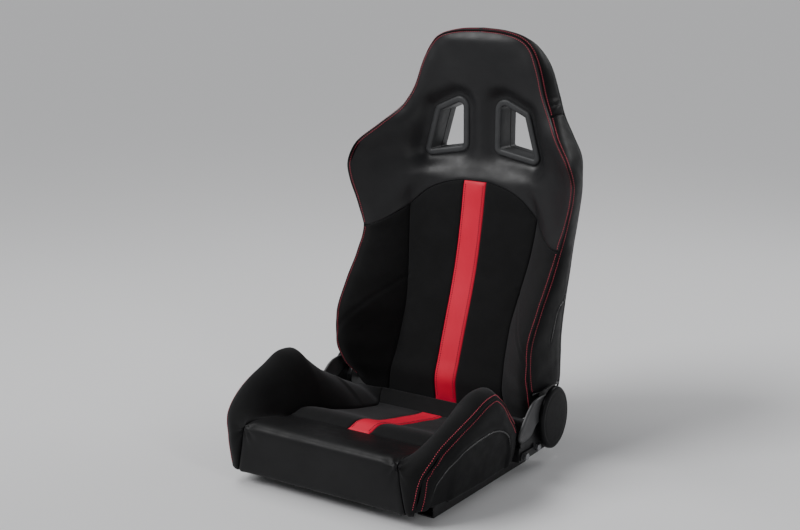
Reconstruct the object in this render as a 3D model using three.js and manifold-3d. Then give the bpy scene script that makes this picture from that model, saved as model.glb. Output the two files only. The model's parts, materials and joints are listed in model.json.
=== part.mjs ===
// Reclining sport seat: a base on two mounting rails, a bucket cushion, a high back with two
// harness slots, and a pair of rotary recliners released together by a lever on each side.
// Millimetres. +X is the sitter's left, the seat faces -Y, +Z is up, and Z = 0 is the floor.
import * as THREE from 'three';
import { mergeVertices } from 'three/addons/utils/BufferGeometryUtils.js';
import Module from 'manifold-3d';

const wasm = await Module();
wasm.setup();

// ---------------------------------------------------------------- driving dimensions
const GAP = 0.6; // between two covers that are sewn together
const HINGE = { y: 138, z: 96 }; // the recline axis, along X
const STRIP = 7; // thickness of the padded side covers
const INSET = 14; // from the outer seam to the foam behind the side covers
const SHELL = 14; // thickness of the rear shell
const CHANNEL = 28; // room for the frame between the foam and the shell
const TUBE = 9.5; // outer radius of the back frame's tubes
const WALL = 2; // wall of every tube
const STRIPE = 27; // half the width of the red stripe
const PAN_FRONT = -300;
const PAN_REAR = 70;
const RAIL = { x: 203, width: 36, height: 24, wall: 3, front: -262, rear: 100 };
const RAIL_HOLES = [-240, 60]; // M8 fixing holes, front and rear
const MEMBER = { x: 234, wall: 4, low: 24.4, high: 60, front: -230, rear: 96 };
const PLATE = { x: 250.5, thick: 4 };
const LEVER = { x: 255, thick: 7 };
const COVER = { x: 262.5, depth: 11, y: 131, z: 98, halfY: 57, halfZ: 67 };

// ---------------------------------------------------------------- small helpers
const clamp = (value, low, high) => Math.min(Math.max(value, low), high);
const spread = (low, high, steps) =>
  Array.from({ length: steps + 1 }, (_, i) => low + ((high - low) * i) / steps);

// a smooth function through [position, value] pairs, without overshoot and level past the ends
function through(pairs) {
  const slope = pairs.slice(1).map(([x, y], i) => (y - pairs[i][1]) / (x - pairs[i][0]));
  const tangent = pairs.map((_, i) => {
    const [a, b] = [slope[i - 1] ?? 0, slope[i] ?? 0];
    return a * b > 0 ? (2 * a * b) / (a + b) : 0;
  });
  return (at) => {
    const x = clamp(at, pairs[0][0], pairs.at(-1)[0]);
    const i = clamp(pairs.findIndex(([p]) => p >= x) - 1, 0, pairs.length - 2);
    const width = pairs[i + 1][0] - pairs[i][0];
    const t = (x - pairs[i][0]) / width;
    return (
      pairs[i][1] * (1 + 2 * t) * (1 - t) ** 2 +
      pairs[i + 1][1] * t * t * (3 - 2 * t) +
      width * (tangent[i] * t * (1 - t) ** 2 + tangent[i + 1] * t * t * (t - 1))
    );
  };
}

function toManifold(geometry) {
  const bare = geometry.clone();
  bare.deleteAttribute('normal');
  bare.deleteAttribute('uv');
  const merged = mergeVertices(bare, 1e-4);
  const mesh = new wasm.Mesh({
    numProp: 3,
    vertProperties: new Float32Array(merged.attributes.position.array),
    triVerts: new Uint32Array(merged.index.array),
  });
  mesh.merge();
  return new wasm.Manifold(mesh);
}

function toGeometry(manifold) {
  const mesh = manifold.getMesh();
  const geometry = new THREE.BufferGeometry();
  geometry.setAttribute('position', new THREE.BufferAttribute(mesh.vertProperties, 3));
  geometry.setIndex(new THREE.BufferAttribute(mesh.triVerts, 1));
  geometry.computeVertexNormals();
  return geometry;
}

// a closed solid between two equal grids of points, closed all round their rims
function between(outer, inner) {
  const rows = outer.length;
  const columns = outer[0].length;
  const position = [...outer.flat(), ...inner.flat()].flat();
  const index = [];
  const at = (layer, i, j) => layer * rows * columns + i * columns + j;
  const quad = (a, b, c, d) => index.push(a, b, c, a, c, d);
  for (let i = 0; i < rows - 1; i++) {
    for (let j = 0; j < columns - 1; j++) {
      quad(at(0, i, j), at(0, i, j + 1), at(0, i + 1, j + 1), at(0, i + 1, j));
      quad(at(1, i, j), at(1, i + 1, j), at(1, i + 1, j + 1), at(1, i, j + 1));
    }
    quad(at(0, i, 0), at(0, i + 1, 0), at(1, i + 1, 0), at(1, i, 0));
    const last = columns - 1;
    quad(at(0, i + 1, last), at(0, i, last), at(1, i, last), at(1, i + 1, last));
  }
  for (let j = 0; j < columns - 1; j++) {
    quad(at(0, 0, j + 1), at(0, 0, j), at(1, 0, j), at(1, 0, j + 1));
    quad(at(0, rows - 1, j), at(0, rows - 1, j + 1), at(1, rows - 1, j + 1), at(1, rows - 1, j));
  }
  const geometry = new THREE.BufferGeometry();
  geometry.setAttribute('position', new THREE.Float32BufferAttribute(position, 3));
  geometry.setIndex(index);
  return outward(geometry);
}

function signedVolume(geometry) {
  const points = geometry.attributes.position;
  const index = geometry.index.array;
  const [a, b, c] = [new THREE.Vector3(), new THREE.Vector3(), new THREE.Vector3()];
  let sum = 0;
  for (let i = 0; i < index.length; i += 3) {
    a.fromBufferAttribute(points, index[i]);
    b.fromBufferAttribute(points, index[i + 1]);
    c.fromBufferAttribute(points, index[i + 2]);
    sum += a.dot(b.cross(c)) / 6;
  }
  return sum;
}

function outward(geometry) {
  const merged = geometry.index ? geometry : mergeVertices(geometry);
  if (signedVolume(merged) < 0) {
    const index = merged.index.array;
    for (let i = 0; i < index.length; i += 3) {
      [index[i], index[i + 1]] = [index[i + 1], index[i]];
    }
  }
  merged.computeVertexNormals();
  return merged;
}

// an extruded outline: 'yz' runs along X, 'xz' along Y and 'xy' along Z
function prism(plane, outline, from, to, segments = 10) {
  const shape = outline instanceof THREE.Shape
    ? outline
    : new THREE.Shape(outline.map(([u, v]) => new THREE.Vector2(u, v)));
  const geometry = new THREE.ExtrudeGeometry(shape, {
    depth: to - from,
    bevelEnabled: false,
    curveSegments: segments,
  });
  const [x, y, z] = [new THREE.Vector3(1, 0, 0), new THREE.Vector3(0, 1, 0), new THREE.Vector3(0, 0, 1)];
  if (plane === 'yz') {
    geometry.applyMatrix4(new THREE.Matrix4().makeBasis(y, z, x));
    geometry.translate(from, 0, 0);
  } else if (plane === 'xz') {
    geometry.applyMatrix4(new THREE.Matrix4().makeBasis(x, z, y.clone().negate()));
    geometry.translate(0, to, 0);
  } else {
    geometry.translate(0, 0, from);
  }
  return geometry;
}

function cut(geometry, ...tools) {
  return toGeometry(tools.reduce((body, tool) => body.subtract(toManifold(tool)), toManifold(geometry)));
}

function common(geometry, ...tools) {
  return toGeometry(tools.reduce((body, tool) => body.intersect(toManifold(tool)), toManifold(geometry)));
}

function join(geometry, ...tools) {
  return toGeometry(tools.reduce((body, tool) => body.add(toManifold(tool)), toManifold(geometry)));
}

function block(x, y, z) {
  const geometry = new THREE.BoxGeometry(x[1] - x[0], y[1] - y[0], z[1] - z[0]);
  return geometry.translate((x[0] + x[1]) / 2, (y[0] + y[1]) / 2, (z[0] + z[1]) / 2);
}

function circle(radius, y, z) {
  const shape = new THREE.Shape();
  shape.absarc(y, z, radius, 0, 2 * Math.PI);
  return shape;
}

function tube(points, radius, steps) {
  const ring = circle(radius, 0, 0);
  ring.holes.push(circle(radius - WALL, 0, 0));
  const path = points.length > 2
    ? new THREE.CatmullRomCurve3(points.map((p) => new THREE.Vector3(...p)), false, 'centripetal')
    : new THREE.LineCurve3(...points.map((p) => new THREE.Vector3(...p)));
  const options = { steps, extrudePath: path, curveSegments: 6, bevelEnabled: false };
  return new THREE.ExtrudeGeometry(ring, options);
}

function mirrored(geometry) {
  const copy = geometry.index ? geometry.clone() : mergeVertices(geometry.clone());
  copy.scale(-1, 1, 1);
  const index = copy.index.array;
  for (let i = 0; i < index.length; i += 3) {
    [index[i], index[i + 1]] = [index[i + 1], index[i]];
  }
  copy.computeVertexNormals();
  return copy;
}

// ---------------------------------------------------------------- materials and the scene
const finish = (color, roughness, metalness) =>
  new THREE.MeshStandardMaterial({ color, roughness, metalness });
const leather = finish(0x141415, 0.5, 0);
const suede = finish(0x0b0b0c, 0.95, 0);
const redLeather = finish(0xc8344b, 0.5, 0);
const shellCloth = finish(0x101011, 0.85, 0);
const plastic = finish(0x161617, 0.4, 0);
const bezelPlastic = finish(0x2b2c2e, 0.5, 0);
const steel = finish(0x1b1b1d, 0.45, 0.9);
const zinc = finish(0x8d8f93, 0.4, 1);
const webbing = finish(0x222222, 0.9, 0);

const root = new THREE.Group();
function add(name, geometry, material) {
  const mesh = new THREE.Mesh(geometry, material);
  mesh.name = name;
  root.add(mesh);
}
function addPair(name, geometry, material) {
  add(`${name}_right`, geometry, material);
  add(`${name}_left`, mirrored(geometry), material);
}

// ---------------------------------------------------------------- the back's shape
// outer seam, from the bottom corner up over the shoulder, neck and head to the middle
const SEAM = [
  [223, 112, 100], [240, 78, 150], [245, 58, 205], [245, 60, 260], [246, 98, 330], [246, 142, 390],
  [249, 170, 445], [264, 168, 495], [280, 160, 550], [283, 158, 590], [266, 164, 630], [226, 194, 670],
  [188, 233, 710], [164, 247, 752], [144, 253, 812], [126, 256, 848], [106, 254, 868], [60, 254, 882],
  [0, 255, 886],
];
// the rear edge of the side covers, matching the seam point for point
const REAR = [
  [230, 176, 100], [245, 190, 150], [246, 194, 205], [246, 195, 260], [246, 209, 330], [246, 226, 390],
  [246, 240, 445], [248, 252, 495], [250, 262, 550], [249, 266, 590], [242, 274, 630], [214, 288, 670],
  [186, 300, 710], [168, 308, 752], [146, 308, 812], [124, 301, 846], [100, 292, 866], [56, 290, 877],
  [0, 294, 880],
];
const SIDE_LOW = 158; // lower edge of the back's side covers
const BACK_LOW = 78; // underside of the back's foam
const NECK = 712; // where the side covers end and the head's cover starts

const backMiddle = through([
  [78, 130], [110, 126], [129, 124], [178, 139], [253, 165], [328, 192], [405, 214], [484, 230],
  [554, 242], [578, 252], [606, 259], [640, 262], [690, 262], [733, 259], [780, 252], [817, 248],
  [850, 248], [886, 256],
]);
const insertEdge = through([
  [78, 152], [140, 143], [200, 137], [260, 136], [340, 145], [420, 157], [500, 163], [580, 150],
  [680, 140], [740, 130], [800, 110], [886, 60],
]);
const seamX = through(SEAM.slice(0, 17).map(([x, , z]) => [z, x]));
const seamY = through(SEAM.slice(0, 17).map(([, y, z]) => [z, y]));
const rearX = through(REAR.slice(0, 17).map(([x, , z]) => [z, x]));
const archZ = through([
  [0, 557], [30, 557], [60, 552], [90, 543], [120, 528], [150, 503], [180, 477], [210, 456], [240, 444],
  [300, 440],
]);
const rearMiddle = through([
  [84, 188], [150, 222], [250, 258], [330, 284], [400, 304], [500, 325], [600, 336], [700, 339],
  [800, 332], [886, 296],
]);
const rearEdge = through([
  [84, 172], [150, 190], [260, 195], [330, 209], [400, 229], [500, 253], [600, 267], [700, 298],
  [800, 308], [886, 290],
]);

// front and rear faces of the back, as Y over X and Z
function backFront(x, z) {
  const inner = insertEdge(z);
  const t = clamp((Math.abs(x) - inner) / (seamX(z) - inner), 0, 1.15);
  return backMiddle(z) + (seamY(z) - backMiddle(z)) * t * (1.7 - 0.7 * t);
}
function backRear(x, z) {
  const t = clamp(Math.abs(x) / rearX(z), 0, 1.15);
  return rearMiddle(z) + (rearEdge(z) - rearMiddle(z)) * t ** 2.4;
}

const along = (points) =>
  new THREE.CatmullRomCurve3(points.map((p) => new THREE.Vector3(...p)), false, 'centripetal');
const seamCurve = along(SEAM);
const rearCurve = along(REAR);

// the seam's outward direction in the XZ plane, at one key point
function outwardAt(points, i) {
  const before = points[Math.max(i - 1, 0)];
  const after = i + 1 < points.length ? points[i + 1] : [-points[i - 1][0], 0, points[i - 1][2]];
  const direction = new THREE.Vector2(after[2] - before[2], before[0] - after[0]).normalize();
  return [direction.x, direction.y];
}

// the foam's side wall runs straight through the two edges, set in by the inset
function coreOutline(y) {
  const half = SEAM.map(([x, front, z], i) => {
    const [rx, rear, rz] = REAR[i];
    const t = (y - front) / (rear - front);
    const [nx, nz] = outwardAt(SEAM, i);
    return [x + (rx - x) * t - INSET * nx, y, z + (rz - z) * t - INSET * nz];
  });
  const first = [half[0][0], y, BACK_LOW];
  const right = [first, ...half.slice(0, -1)];
  const left = right.map(([x, , z]) => [-x, y, z]).reverse();
  return [...right, [0, y, half.at(-1)[2]], ...left];
}
function core() {
  const [front, rear] = [coreOutline(30), coreOutline(345)];
  const count = front.length;
  const index = [];
  const flat = (ring) => ring.map(([x, , z]) => new THREE.Vector2(x, z));
  for (const [a, b, c] of THREE.ShapeUtils.triangulateShape(flat(front), [])) {
    index.push(a, b, c, count + c, count + b, count + a);
  }
  for (let i = 0; i < count; i++) {
    const next = (i + 1) % count;
    if (i < count / 2) {
      index.push(i, count + next, next, i, count + i, count + next);
    } else {
      index.push(i, count + i, next, next, count + i, count + next);
    }
  }
  const geometry = new THREE.BufferGeometry();
  geometry.setAttribute('position', new THREE.Float32BufferAttribute([...front, ...rear].flat(), 3));
  geometry.setIndex(index);
  return outward(geometry);
}

// a slab over the whole back between two depths measured from its faces
const BACK_X = [-272, -242, -212, -180, -145, -100, -40, 40, 100, 145, 180, 212, 242, 272];
const BACK_Z = [
  BACK_LOW, 112, 145, 190, 235, 285, 335, 385, 435, 485, 530, 565, 600, 635, 670, 705, 740, 780, 820,
  855, 880,
];
function backSlab(front, rear) {
  const grid = (depth) => BACK_Z.map((z) => BACK_X.map((x) => [x, depth(x, z), z]));
  return between(grid(front), grid(rear));
}

// ---------------------------------------------------------------- harness slots
// corner centres of the bezel's band, from the inner top round to the inner bottom
const SLOT = [[41, 740], [113, 707], [142, 605], [40, 624]];
const BAND = 7.1; // half the width of the bezel's band
const SLOT_CENTRE = [85, 668];
function slotOutline(grow, corner = 9) {
  const count = SLOT.length;
  const points = SLOT.map(([x, z]) => {
    const dx = x - SLOT_CENTRE[0];
    const dz = z - SLOT_CENTRE[1];
    return new THREE.Vector2(x + Math.sign(dx) * grow, z + Math.sign(dz) * grow);
  });
  const shape = new THREE.Shape();
  points.forEach((point, i) => {
    const toward = (other) => other.clone().sub(point).setLength(corner).add(point);
    const enter = toward(points[(i + count - 1) % count]);
    const leave = toward(points[(i + 1) % count]);
    if (i === 0) {
      shape.moveTo(enter.x, enter.y);
    } else {
      shape.lineTo(enter.x, enter.y);
    }
    shape.quadraticCurveTo(point.x, point.y, leave.x, leave.y);
  });
  shape.closePath();
  return shape;
}
function slotPrism(grow, from, to) {
  return prism('xz', slotOutline(grow), from, to, 3);
}
const bothSlots = (grow, from, to) => {
  const right = slotPrism(grow, from, to);
  return [right, mirrored(right)];
};

const FACE = 267; // front of the bezels' flange
const RIM = 7; // thickness of the flange
const frontBezel = cut(
  join(slotPrism(BAND, FACE, FACE + RIM), slotPrism(-BAND + 2.6, FACE, 312)),
  slotPrism(-BAND, FACE - 1, 313),
);
addPair('harness_bezel', frontBezel, bezelPlastic);
const rearBezel = cut(
  join(slotPrism(BAND, 333, 339), slotPrism(-BAND + 2.6, 314, 339)),
  slotPrism(-BAND, 313, 341),
);
addPair('harness_bezel_rear', rearBezel, bezelPlastic);

// ---------------------------------------------------------------- the back's foam and covers
const padRear = (x, z) => Math.max(backRear(x, z) - SHELL - CHANNEL, backFront(x, z) + 8);
const foam = cut(
  common(core(), backSlab(backFront, padRear)),
  prism('yz', circle(6, HINGE.y, HINGE.z), -280, 280, 8),
  ...bothSlots(-BAND + 3.5, 150, 350),
  ...bothSlots(BAND + 1, 150, FACE + RIM + 0.5),
);

// the sewn arch between the head's leather and the suede below, as a line across the whole back
const ARCH_X = [0, 30, 60, 90, 120, 150, 180, 210, 240, 300];
const archLine = (lift) => [
  ...ARCH_X.toReversed().map((x) => [-x, archZ(x) + lift]),
  ...ARCH_X.slice(1).map((x) => [x, archZ(x) + lift]),
];
const lowerFoam = common(foam, prism('xz', [...archLine(-GAP / 2), [300, 60], [-300, 60]], 0, 400));
add('head_shoulder_pad', common(
  foam,
  prism('xz', [...archLine(GAP / 2), [300, 900], [-300, 900]], 0, 400),
), leather);

const STRIPE_TOP = STRIPE + 1.5;
const insertLineZ = spread(60, 600, 18);
add('back_stripe', common(lowerFoam, prism('xz', [
  [STRIPE - GAP / 2, 60], [STRIPE_TOP - GAP / 2, 600],
  [GAP / 2 - STRIPE_TOP, 600], [GAP / 2 - STRIPE, 60],
], 0, 400)), redLeather);
addPair('back_insert', common(lowerFoam, prism('xz', [
  [STRIPE + GAP / 2, 60],
  ...insertLineZ.map((z) => [insertEdge(z) - GAP / 2, z]),
  [STRIPE_TOP + GAP / 2, 600],
], 0, 400)), suede);
addPair('back_bolster', common(lowerFoam, prism('xz', [
  ...insertLineZ.map((z) => [insertEdge(z) + GAP / 2, z]), [300, 600], [300, 60],
], 0, 400)), suede);

const SHELL_LOW = 104; // lower edge of the rear shell
const shellFront = (x, z) => backRear(x, z) - SHELL;
add('back_shell', cut(
  common(core(), backSlab(shellFront, backRear), block([-300, 300], [0, 400], [SHELL_LOW, 900])),
  ...bothSlots(-BAND + 3.5, 250, 400),
  ...bothSlots(BAND + 1, 332.4, 400),
), shellCloth);

// side covers: a padded band between the seam and the rear edge, bowed a little outward
function sideCover(from, to, steps, mirrorToo) {
  const stations = spread(from, to, steps).map((t) => {
    const front = seamCurve.getPoint(t);
    const rear = rearCurve.getPoint(t);
    const tangent = seamCurve.getTangent(t);
    const normal = new THREE.Vector3(tangent.z, 0, -tangent.x).normalize();
    const ring = (depth) => [0, 0.5, 1].map((s) => {
      const bow = 6 * 4 * s * (1 - s);
      return front.clone().lerp(rear, s).addScaledVector(normal, bow - depth).toArray();
    });
    return { outer: ring(0), inner: ring(STRIP) };
  });
  const other = mirrorToo
    ? stations.slice(0, -1).reverse().map(({ outer, inner }) => ({
      outer: outer.map(([x, y, z]) => [-x, y, z]),
      inner: inner.map(([x, y, z]) => [-x, y, z]),
    }))
    : [];
  const all = [...stations, ...other];
  return between(all.map((s) => s.outer), all.map((s) => s.inner));
}
// the curve's parameter at a height, searched from the bottom up
function parameterAt(height) {
  return spread(0, 1, 400).find((t) => seamCurve.getPoint(t).z >= height);
}
addPair('back_side_cover', sideCover(parameterAt(SIDE_LOW), parameterAt(NECK - GAP), 20, false), leather);
add('head_side_cover', sideCover(parameterAt(NECK + GAP), 1, 10, true), leather);

// ---------------------------------------------------------------- the back's frame
const channel = (x, z) => [x, backRear(x, z) - SHELL - CHANNEL / 2, z];
const SIDE_TUBE = [
  [223, 176], [223, 300], [221, 420], [218, 510], [186, 575], [156, 620], [153, 700], [148, 764],
];
addPair('back_side_tube', tube(SIDE_TUBE.map(([x, z]) => channel(x, z)), TUBE, 15), steel);
function crossTube(reach, z, steps) {
  return tube(spread(-reach, reach, 4).map((x) => channel(x, z)), TUBE - 1, steps);
}
add('back_cross_tube_low', crossTube(211, 190, 4), steel);
add('back_cross_tube_mid', crossTube(180, 555, 4), steel);
add('back_cross_tube_top', crossTube(134, 752, 4), steel);
function strap(z, reach) {
  const heights = [z - 22, z + 22];
  const xs = spread(-reach, reach, 8);
  const grid = (depth) => heights.map((h) => xs.map((x) => [x, channel(x, h)[1] + depth, h]));
  return between(grid(-1.5), grid(1.5));
}
add('back_strap_low', strap(260, 210), webbing);
add('back_strap_mid', strap(350, 210), webbing);
add('back_strap_high', strap(440, 207), webbing);

// ---------------------------------------------------------------- recliners and levers
const hingeAt = (radius) => circle(radius, HINGE.y, HINGE.z);
const BORE = 6.4; // clearance round the release shaft
const SHAFT = 5;

function armOutline() {
  const shape = new THREE.Shape();
  shape.absarc(HINGE.y, HINGE.z, 38, Math.PI * 0.86, Math.PI * 2.02);
  shape.lineTo(184, 190);
  shape.lineTo(184, 300);
  shape.lineTo(166, 312);
  shape.lineTo(150, 300);
  shape.lineTo(144, 200);
  shape.closePath();
  shape.holes.push(hingeAt(BORE));
  return shape;
}
addPair('recliner_arm', prism('yz', armOutline(), 234.4, 238.4), steel);

function ringShape(radius, hole) {
  const shape = hingeAt(radius);
  shape.holes.push(hingeAt(hole));
  return shape;
}
addPair('recliner_unit', prism('yz', ringShape(36, BORE), 239, PLATE.x - GAP / 2), zinc);

// base plate: a round head at the hinge and two feet reaching forward to the side member
const plateHead = prism('yz', circle(44, HINGE.y, HINGE.z), PLATE.x, PLATE.x + PLATE.thick, 10);
const plateFoot = prism('yz', [
  [150, 34], [150, 120], [108, 128], [20, 76], [14, 70], [14, 62], [70, 58], [70, 48], [24, 48], [18, 42],
  [18, 34], [24, 30],
], PLATE.x, PLATE.x + PLATE.thick);
addPair('recliner_plate', cut(
  join(plateHead, plateFoot),
  prism('yz', hingeAt(BORE), PLATE.x - 1, PLATE.x + PLATE.thick + 1),
), steel);

const SPACER = { y: [16, 92], z: [28, 58] };
addPair('recliner_spacer', block([MEMBER.x + 0.3, PLATE.x - 0.3], SPACER.y, SPACER.z), steel);

function bolt(y, z) {
  const hex = new THREE.Shape(spread(0, 5, 5).map((i) => {
    const angle = (i * Math.PI) / 3;
    return new THREE.Vector2(y + 8 * Math.cos(angle), z + 8 * Math.sin(angle));
  }));
  return prism('yz', hex, PLATE.x + PLATE.thick + 0.3, PLATE.x + PLATE.thick + 6.5);
}
addPair('plate_bolt_front', bolt(34, 39), zinc);
addPair('plate_bolt_rear', bolt(84, 44), zinc);

// lever: a hub on the release shaft and a curved paddle reaching forward and down
function leverOutline() {
  const shape = new THREE.Shape();
  shape.moveTo(HINGE.y + 20, HINGE.z);
  shape.absarc(HINGE.y, HINGE.z, 20, 0, -Math.PI * 0.62, true);
  shape.quadraticCurveTo(104, 92, 80, 102);
  shape.quadraticCurveTo(62, 104, 46, 84);
  shape.quadraticCurveTo(40, 76, 30, 78);
  shape.quadraticCurveTo(4, 84, 4, 98);
  shape.quadraticCurveTo(16, 138, 50, 148);
  shape.quadraticCurveTo(96, 158, 132, 146);
  shape.quadraticCurveTo(156, 130, HINGE.y + 20, HINGE.z);
  shape.closePath();
  shape.holes.push(hingeAt(SHAFT + 0.3));
  return shape;
}
const lever = prism('yz', leverOutline(), LEVER.x, LEVER.x + LEVER.thick, 6);
addPair('recline_lever', lever, plastic);
add('release_shaft', prism('yz', hingeAt(SHAFT), -LEVER.x - LEVER.thick, LEVER.x + LEVER.thick, 8), zinc);

// recliner cover: an oval dish over the lever's hub, open on the inner side, on a short post
function oval(grow) {
  const shape = new THREE.Shape();
  shape.absellipse(COVER.y, COVER.z, COVER.halfY + grow, COVER.halfZ + grow, 0, 2 * Math.PI);
  return shape;
}
const coverFace = COVER.x + COVER.depth;
const dish = cut(
  join(
    prism('yz', oval(0), COVER.x, coverFace - 4, 12),
    prism('yz', oval(-4), COVER.x, coverFace, 12),
  ),
  prism('yz', oval(-5), COVER.x - 1, coverFace - 4.5, 12),
);
addPair('recliner_cover', dish, plastic);

// ---------------------------------------------------------------- base frame
const holes = (x, z0, z1) => RAIL_HOLES.map((y) => {
  const shape = circle(4.5, x, y);
  return prism('xy', shape, z0, z1, 8);
});
function rail() {
  const half = RAIL.width / 2;
  const body = block([RAIL.x - half, RAIL.x + half], [RAIL.front, RAIL.rear], [0, RAIL.height]);
  const hollow = block(
    [RAIL.x - half + RAIL.wall, RAIL.x + half - RAIL.wall],
    [RAIL.front - 1, RAIL.rear + 1],
    [RAIL.wall, RAIL.height - RAIL.wall],
  );
  const slit = block(
    [RAIL.x - 8, RAIL.x + 8],
    [RAIL.front - 1, RAIL.rear + 1],
    [RAIL.wall, RAIL.height + 1],
  );
  return cut(body, hollow, slit, ...holes(RAIL.x, -1, RAIL.wall + 1));
}
addPair('mount_rail', rail(), steel);

const memberProfile = [
  [MEMBER.x, MEMBER.low], [MEMBER.x, MEMBER.high], [MEMBER.x - MEMBER.wall, MEMBER.high],
  [MEMBER.x - MEMBER.wall, MEMBER.low + MEMBER.wall], [RAIL.x - 14, MEMBER.low + MEMBER.wall],
  [RAIL.x - 14, MEMBER.low],
];
addPair('side_member', prism('xz', memberProfile, MEMBER.front, MEMBER.rear), steel);
const insideMembers = MEMBER.x - MEMBER.wall - 0.3;
const baseTube = (y, z, radius) => tube([[-insideMembers, y, z], [insideMembers, y, z]], radius, 1);
add('cross_tube_front', baseTube(-215, 41, 10.5), steel);
add('cross_tube_rear', baseTube(84, 40, 10), steel);

const panTop = (y) => 62 - ((y - PAN_FRONT) * 24) / (PAN_REAR - PAN_FRONT);
function seatPan() {
  const ys = [PAN_FRONT, PAN_REAR];
  const xs = [-224, 224];
  const grid = (depth) => ys.map((y) => xs.map((x) => [x, y, panTop(y) - depth]));
  return between(grid(0), grid(2));
}
add('seat_pan', seatPan(), steel);

// ---------------------------------------------------------------- the cushion
const CUSHION_REAR = 116;
const cushionMiddle = through([
  [-339, 128], [-326, 133], [-300, 131], [-250, 122], [-201, 114], [-165, 121], [-91, 99], [-13, 83],
  [75, 69], [100, 76], [CUSHION_REAR, 82],
]);
const cushionInsert = through([
  [-339, 188], [-240, 184], [-201, 174], [-174, 170], [-131, 160], [-81, 145], [-23, 129], [47, 130],
  [CUSHION_REAR, 158],
]);
const cushionEdge = through([
  [-339, 212], [-328, 232], [-311, 242], [-290, 247], [-248, 254], [-188, 257], [-136, 258], [-4, 252],
  [4, 232], [CUSHION_REAR, 230],
]);
const bolsterCrest = through([
  [-339, 112], [-326, 126], [-311, 140], [-290, 158], [-248, 182], [-188, 205], [-136, 222], [-112, 220],
  [-83, 195], [-30, 153], [43, 109], [100, 76], [CUSHION_REAR, 70],
]);
const outerSeam = through([
  [-329, 90], [-323, 110], [-311, 130], [-290, 150], [-248, 170], [-188, 190], [-136, 206], [-112, 208],
  [-82, 191], [-45, 146], [-13, 109], [0, 92],
]);
const CREST = 0.82; // how far out across the bolster its crest lies
function cushionTop(x, y) {
  const inner = cushionInsert(y);
  const t = clamp((Math.abs(x) - inner) / (cushionEdge(y) - inner), 0, 1.1);
  const rise = t < CREST
    ? Math.sin((Math.PI / 2) * (t / CREST))
    : 1 - 0.15 * ((t - CREST) / (1 - CREST)) ** 2;
  return cushionMiddle(y) + (bolsterCrest(y) - cushionMiddle(y)) * rise;
}
const CUSHION_X = [
  -250, -235, -215, -195, -170, -145, -110, -60, 0, 60, 110, 145, 170, 195, 215, 235, 250,
];
const CUSHION_Y = [
  -339, -328, -312, -290, -260, -230, -201, -175, -136, -100, -65, -30, 5, 40, 75, 96, CUSHION_REAR,
];
const OVER_TUBE = 51; // the cushion's underside behind the pan, clear of the rear cross tube
const cushionUnder = (y) => (y < PAN_REAR ? panTop(Math.max(y, PAN_FRONT)) + 0.5 : OVER_TUBE);
const cushionSlab = between(
  CUSHION_Y.map((y) => CUSHION_X.map((x) => [x, y, cushionTop(x, y)])),
  CUSHION_Y.map((y) => CUSHION_X.map((x) => [x, y, cushionUnder(y)])),
);
const planEdge = [-339, -328, -311, -290, -248, -188, -136, -60, -4, 4, 60, CUSHION_REAR];
const cushionPlan = [
  ...planEdge.map((y) => [cushionEdge(y) - 9, y]),
  ...planEdge.toReversed().map((y) => [9 - cushionEdge(y), y]),
];
// the front lip that wraps down over the pan's edge
const lipPlan = [
  [-200, -338], [200, -338], [214, -329], [222, -318], [222, -301], [-222, -301], [-222, -318],
  [-214, -329],
];
// side covers of the cushion, tucked in towards the floor
const SIDE_COVER_Y = [-326, -318, -305, -285, -255, -220, -180, -136, -112, -85, -55, -30, -8];
const sideCoverGrid = (depth) => SIDE_COVER_Y.map((y) => [0, 0.34, 0.67, 1].map((s) => {
  const z = 36 + (outerSeam(y) - 36) * s;
  const tuck = (y < -240 ? 0.2 : 0.15) * Math.max(130 - z, 0);
  const bow = 3 * 4 * s * (1 - s);
  return [cushionEdge(y) + 8 - tuck + bow - depth, y, z];
}));
const seatSideCover = between(sideCoverGrid(0), sideCoverGrid(STRIP));
const besideCushion = between(sideCoverGrid(-40), sideCoverGrid(STRIP + 1));

const cushion = cut(
  join(common(cushionSlab, prism('xy', cushionPlan, 0, 260)), prism('xy', lipPlan, 25, 70)),
  block([222, 260], [MEMBER.front - 6, MEMBER.rear + 4], [0, MEMBER.high + 1]),
  block([-260, -222], [MEMBER.front - 6, MEMBER.rear + 4], [0, MEMBER.high + 1]),
  besideCushion,
  mirrored(besideCushion),
);

const ROLL = { half: 186, rear: -201 };
const cushionPiece = (outline) => common(cushion, prism('xy', outline, 0, 260));
add('seat_front_roll', cushionPiece([
  [-ROLL.half, -345], [ROLL.half, -345], [172, ROLL.rear], [-172, ROLL.rear],
]), leather);

const insertLine = [ROLL.rear + GAP, -165, -131, -81, -23, 30, 75];
addPair('seat_insert', cushionPiece([
  [STRIPE + GAP / 2, ROLL.rear + GAP],
  ...insertLine.map((y) => [cushionInsert(y) - GAP / 2, y]),
  [STRIPE + GAP / 2, 75],
]), suede);
add('seat_stripe', cushionPiece([
  [-STRIPE + GAP / 2, ROLL.rear + GAP], [STRIPE - GAP / 2, ROLL.rear + GAP],
  [STRIPE - GAP / 2, 75], [-STRIPE + GAP / 2, 75],
]), redLeather);
add('seat_rear_pad', cushionPiece([
  [-cushionInsert(75) + GAP / 2, 75 + GAP], [cushionInsert(75) - GAP / 2, 75 + GAP],
  [cushionInsert(CUSHION_REAR) - GAP / 2, 140], [-cushionInsert(CUSHION_REAR) + GAP / 2, 140],
]), suede);
addPair('seat_side_cover', seatSideCover, leather);
addPair('seat_bolster', cushionPiece([
  [ROLL.half + GAP, -345], [300, -345], [300, 140],
  [cushionInsert(CUSHION_REAR) + GAP / 2, 140],
  ...insertLine.toReversed().map((y) => [cushionInsert(y) + GAP / 2, y]),
  [172 + GAP, ROLL.rear],
]), suede);

export default root;
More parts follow.
